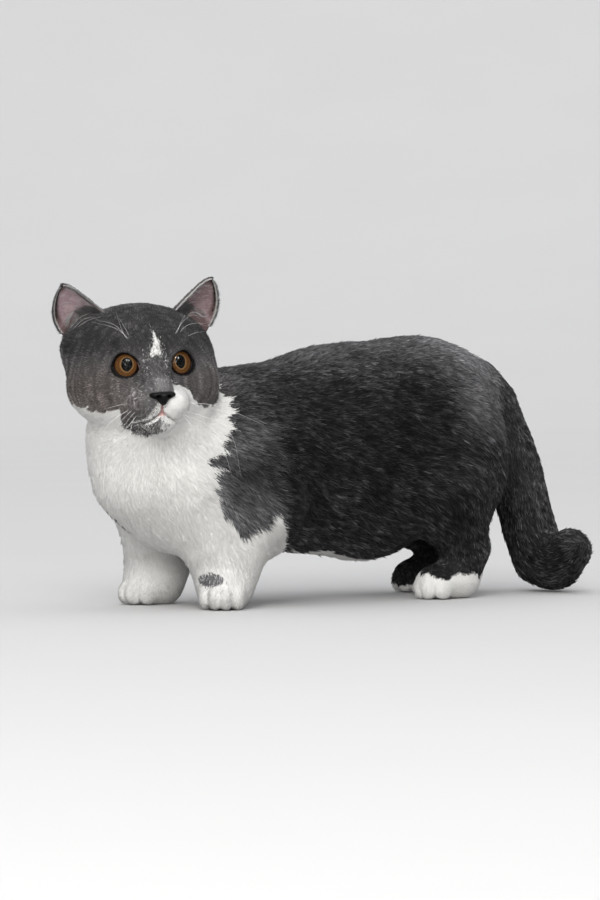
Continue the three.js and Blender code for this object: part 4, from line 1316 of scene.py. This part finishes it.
# Hairs of the ear by kind: how many, length, width, rise, whiteness and level of the grey, then their reach
# across and up the leaf, and how far they lie across and up it
EAR_HAIRS = {
    "back": (6500, 3.2, 0.42, 0.28, 0.0, 0.10, (-1, 1), (-0.1, 0.985), (0, 1)),
    # Painted light: the rim and edge hairs are pale and lighter grey, partly to stand in for light through the
    # backlit rim
    "rim": (1700, 2.6, 0.22, 0.1, 0.7, 0.3, (0.95, 1), (0, 0.985), (1, 0.6)),
    "edge": (900, 1.9, 0.2, 0.1, 0.75, 0.3, (0.95, 1), (0, 0.985), (1, 0.6)),
    "band": (900, 2.2, 0.26, 0.12, 0.0, 0.02, (0.9, 0.99), (0.2, 0.98), (0, 1)),
    "inner": (300, 5.5, 0.13, 0.12, 0.4, 0.35, (-0.7, 0.9), (0.05, 0.9), (0.75, 0.55)),
    "fan": (55, 12.0, 0.12, 0.34, 0.3, 0.2, (0.3, 0.95), (0.0, 0.22), (-0.95, 0.45)),
    "tuft": (620, 6.5, 0.26, 0.4, 0.1, 0.05, (-0.1, 0.95), (-0.15, 0.16), (0.35, 0.9)),
}


def ear_coat(side, name):
    """Tufts on the back, a bright fringe on the rim made of pale hair, partly as painted backlight, a dark band
    inside it, pale hairs across the hollow.
    """
    front = ear_front(side)[2]
    small = 0.01
    lots = []
    for kind, (amount, long, wide, rise, white, grey, reach, rows, lie) in EAR_HAIRS.items():
        number = int(amount * QUICK_SHARE)
        either = np.where(rng.random(number) < 0.5, -1, 1)
        s, v = rng.uniform(-1, 1, number), rng.uniform(-0.1, 0.985, number)
        if kind != "back":
            way = {"inner": -side, "fan": side, "tuft": -side}.get(kind, either)
            s = way * rng.uniform(*reach, number)
            v = rng.uniform(*rows, number) ** (0.7 if kind == "band" else 1)
        outside = kind in ("back", "rim")
        inset = 0 if outside else EAR_THICKNESS
        at, right, left, above, below = (
            ear_surface(side, np.minimum(s + ds, 1), v + dv, inset)
            for ds, dv in ((0, 0), (small, 0), (-small, 0), (0, small), (0, -small))
        )
        du, dv = unit(right - left), unit(above - below)
        normal = unit(np.cross(du, dv))
        n = np.where((dots(normal, -front) > 0) == outside, normal, -normal)
        across = lie[0] * (np.sign(s)[:, None] if kind in ("rim", "edge") else side)
        lie = unit(du * across + dv * lie[1] + 0.16 * rng.standard_normal((number, 3)))
        lie = unit(lie - dots(lie, n) * n)
        length = long * rng.uniform(0.6, 1.25, number)
        width = np.full(number, wide) * 1
        lift = rise + 0.1 * rng.standard_normal(number)
        droop = np.full(number, 0.5 if kind == "fan" else 0.15)
        roll = 0.4 * rng.standard_normal(number)
        tufts, shading = tuft_blades(at, n, lie, length, width, lift, droop, np.full(number, 0.3), roll,
                                     np.full(number, 0.5))
        unwrap = np.column_stack([s * 0.25 + (0.25 if outside else 0.75), v * 0.9 + 0.05])
        lots.append((from_head(tufts), unit(shading @ HEAD_AXES), unwrap, np.full(number, white),
                     grey * rng.uniform(0.6, 1.4, number), rng.uniform(0.8, 1, number)))
    place, shading, unwrap, mark, level, tone = (np.concatenate(parts) for parts in zip(*lots))
    scalars = {"mark": mark, "level": level, "tone": tone, "warm": np.full(len(mark), 0.5)}
    tuft_piece(f"coat_ear_{name}", place, shading, unwrap, scalars, "head_coat")


ear_look = ear_material()
for side, name in ((-1, "right"), (1, "left")):
    vertices, faces, shade = ear_leaf(side)
    ear = new_mesh(f"ear_leaf_{name}", metres(from_head(vertices)), facing_out(faces, side < 0),
                   {"shade": shade})
    finish_piece(ear, ear_look, "ear_skin", f"ear_{name}")
    ear_coat(side, name)

# Whiskers, brow hairs and the like, as thin tapering tubes. Each has its root, middle and end in head mm.

HAIR_RINGS = 12
WHISKERS = [
    [(44, -13, -22), (46, -19, -27), (44, -25, -35)], [(42, -17, -23), (44, -24, -29), (42, -30, -38)],
    [(43, -14, -26), (46, -23, -35), (42, -33, -46)], [(38, -17, -19), (40, -25, -20), (37, -33, -22)],
    [(41, -16, -28), (44, -19, -35), (43, -20, -45)], [(38, -18, -23), (40, -29, -29), (35, -38, -40)],
    [(44, 12, -20), (42, 34, -23), (20, 70, -37)], [(44, 13, -24), (40, 42, -38), (25, 53, -69)],
    [(44, 11, -26), (42, 33, -38), (28, 47, -69)], [(44, 11, -24), (46, 17, -30), (44, 22, -37)],
    [(43, 14, -28), (45, 18, -34), (43, 21, -40)], [(40, 18, -19), (40, 24, -23), (38, 31, -28)],
]
BROW_HAIRS = [
    [(31, -10, 13), (30, -20, 25), (22, -35, 31)], [(31, -12, 14), (30, -22, 28), (24, -33, 32)],
    [(30, -14, 16), (29, -18, 25), (24, -20, 36)], [(30, -12, 17), (29, -16, 26), (25, -19, 33)],
    [(30, 14, 18), (28, 18, 26), (22, 24, 34)], [(28, 19, 18), (26, 27, 21), (18, 36, 22)],
    [(30, 13, 19), (27, 20, 28), (16, 31, 34)], [(29, 15, 19), (25, 23, 26), (12, 40, 27)],
]
EAR_CROSSING_HAIRS = [
    [(-2, -21, 37), (2, -26, 42), (2, -26.5, 43)], [(-2, -42, 27), (6, -36, 33), (8, -30, 34)],
    [(0, -41, 27), (7, -34, 32), (8, -26, 34)], [(-4, -43, 28), (3, -38, 34), (5, -31, 37)],
    [(2, 25, 26), (2, 31, 32), (0, 40, 31)], [(0, 27, 29), (0, 33, 34), (-2, 42, 31)],
    [(-2, 36, 34), (-4, 41, 31), (-6, 45, 32)], [(0, 29, 32), (0, 35, 28), (-4, 43, 25)],
]
whisker_look = plain_material("whisker", (0.86, 0.85, 0.83), 0.35, 500, 0.05)


def hair_rings(line, radius):
    spine = catmull_rom(line, HAIR_RINGS)
    heading = unit(np.gradient(spine, axis=0))
    first = unit(np.cross(heading, [0.3, 0.2, 1.0]))
    second = np.cross(heading, first)
    taper = (radius * np.linspace(1, 0.12, HAIR_RINGS) ** 0.8)[:, None]
    return np.stack([spine + taper * way for way in (first, second, -first, -second)], axis=1)


for name, lines, radius in (
    ("whiskers", WHISKERS, 0.11), ("brow_hairs", BROW_HAIRS, 0.08), ("ear_hairs", EAR_CROSSING_HAIRS, 0.09),
):
    vertices, faces = [], []
    for line in lines:
        tube, sides = ring_mesh(hair_rings(line, radius), hubs=())
        last = len(tube)
        sides += [(3, 2, 1, 0), (last - 4, last - 3, last - 2, last - 1)]
        faces += [tuple(corner + len(vertices) for corner in face) for face in sides]
        vertices += list(tube)
    finish_piece(new_mesh(name, metres(from_head(vertices)), faces), whisker_look, "white_coat")

# The floor, a wide flat with a rounded rise all round

floor_look = plain_material("floor", (0.635, 0.632, 0.628), 0.85, 3, 0.01, specular=0.1)
FLAT_RADIUS, WALL_RUN, WALL_HEIGHT, SEGMENTS = 4.0, 5.0, 3.0, 96
turns = np.arange(SEGMENTS) * 2 * math.pi / SEGMENTS
turn_circle = np.stack([np.cos(turns), np.sin(turns)], axis=1)
bowl_rings = []
for rise in np.linspace(0, math.pi / 2, 13):
    radius = FLAT_RADIUS + WALL_RUN * math.sin(rise)
    bowl_rings.append(level_ring(turn_circle * radius, WALL_HEIGHT * (1 - math.cos(rise))))
vertices, faces = ring_mesh(np.array(bowl_rings), hubs=(0,))
floor = new_mesh("floor", vertices, facing_out(faces, True))
floor.data.materials.append(floor_look)

# The light

scene = bpy.context.scene
scene.view_settings.view_transform = "Standard"
world = bpy.data.worlds.new("studio")
scene.world = world
world.use_nodes = True
background = world.node_tree.nodes["Background"]
background.inputs["Color"].default_value = (0.95, 0.965, 1.0, 1)
background.inputs["Strength"].default_value = 0.66

HEAD_AT = metres(HEAD_CENTRE)
WARM_WHITE = (1.0, 0.985, 0.965)


def add_light(name, kind, place, target, energy, color, **settings):
    lamp = bpy.data.lights.new(name, kind)
    lamp.energy = energy
    lamp.color = color
    for key, value in settings.items():
        setattr(lamp, key, value)
    light = bpy.data.objects.new(name, lamp)
    light.location = place
    light.rotation_euler = (Vector(target) - Vector(place)).to_track_quat("-Z", "Y").to_euler()
    scene.collection.objects.link(light)
    return light


def sky_light(name, place, spread, strength, color):
    add_light(name, "SUN", place, (0, 0, 0), strength, color, angle=math.radians(spread))


def disk_light(name, from_head_by, target, size, power):
    place = HEAD_AT + np.array(from_head_by)
    return add_light(name, "AREA", place, target, power, WARM_WHITE, shape="DISK", size=size)


sky_light("overhead", (0.2, 0.1, 3.0), 80, 0.75, (1, 1, 1))
sky_light("front_left", (-1.9, -1.7, 1.5), 60, 1.0, (1.0, 0.985, 0.96))
disk_light("front_low", (-2.1, -2.5, 0.85), (-0.05, 0, 0.08), 1.8, 34)
disk_light("head_light", (-0.9, -1.29, 0.95), HEAD_AT, 0.6, 7).visible_glossy = False
# Two small lamps that show only as glints in what is wet
for number, (x, y) in enumerate(((-0.83, -1.22), (-0.34, -1.56))):
    disk_light(f"glint_{number + 1}", (x, y, 1.5), HEAD_AT, 0.2, 26).visible_diffuse = False

# The camera

CAMERA_AT = metres([-1305.8, -1861.8, 148.0])
CAMERA_TURN, CAMERA_TILT_DOWN = -35, 1.29
SENSOR, LENS_IN_PIXELS, PICTURE_HEIGHT = 36, 3548, 900
camera_data = bpy.data.cameras.new("camera")
camera_data.sensor_width = SENSOR
camera_data.lens = LENS_IN_PIXELS * SENSOR / PICTURE_HEIGHT
camera_data.clip_start = 0.05
camera_data.clip_end = 100
camera = bpy.data.objects.new("camera", camera_data)
camera.location = CAMERA_AT
camera.rotation_euler = (math.radians(90 - CAMERA_TILT_DOWN), 0, math.radians(CAMERA_TURN))
scene.collection.objects.link(camera)
scene.camera = camera
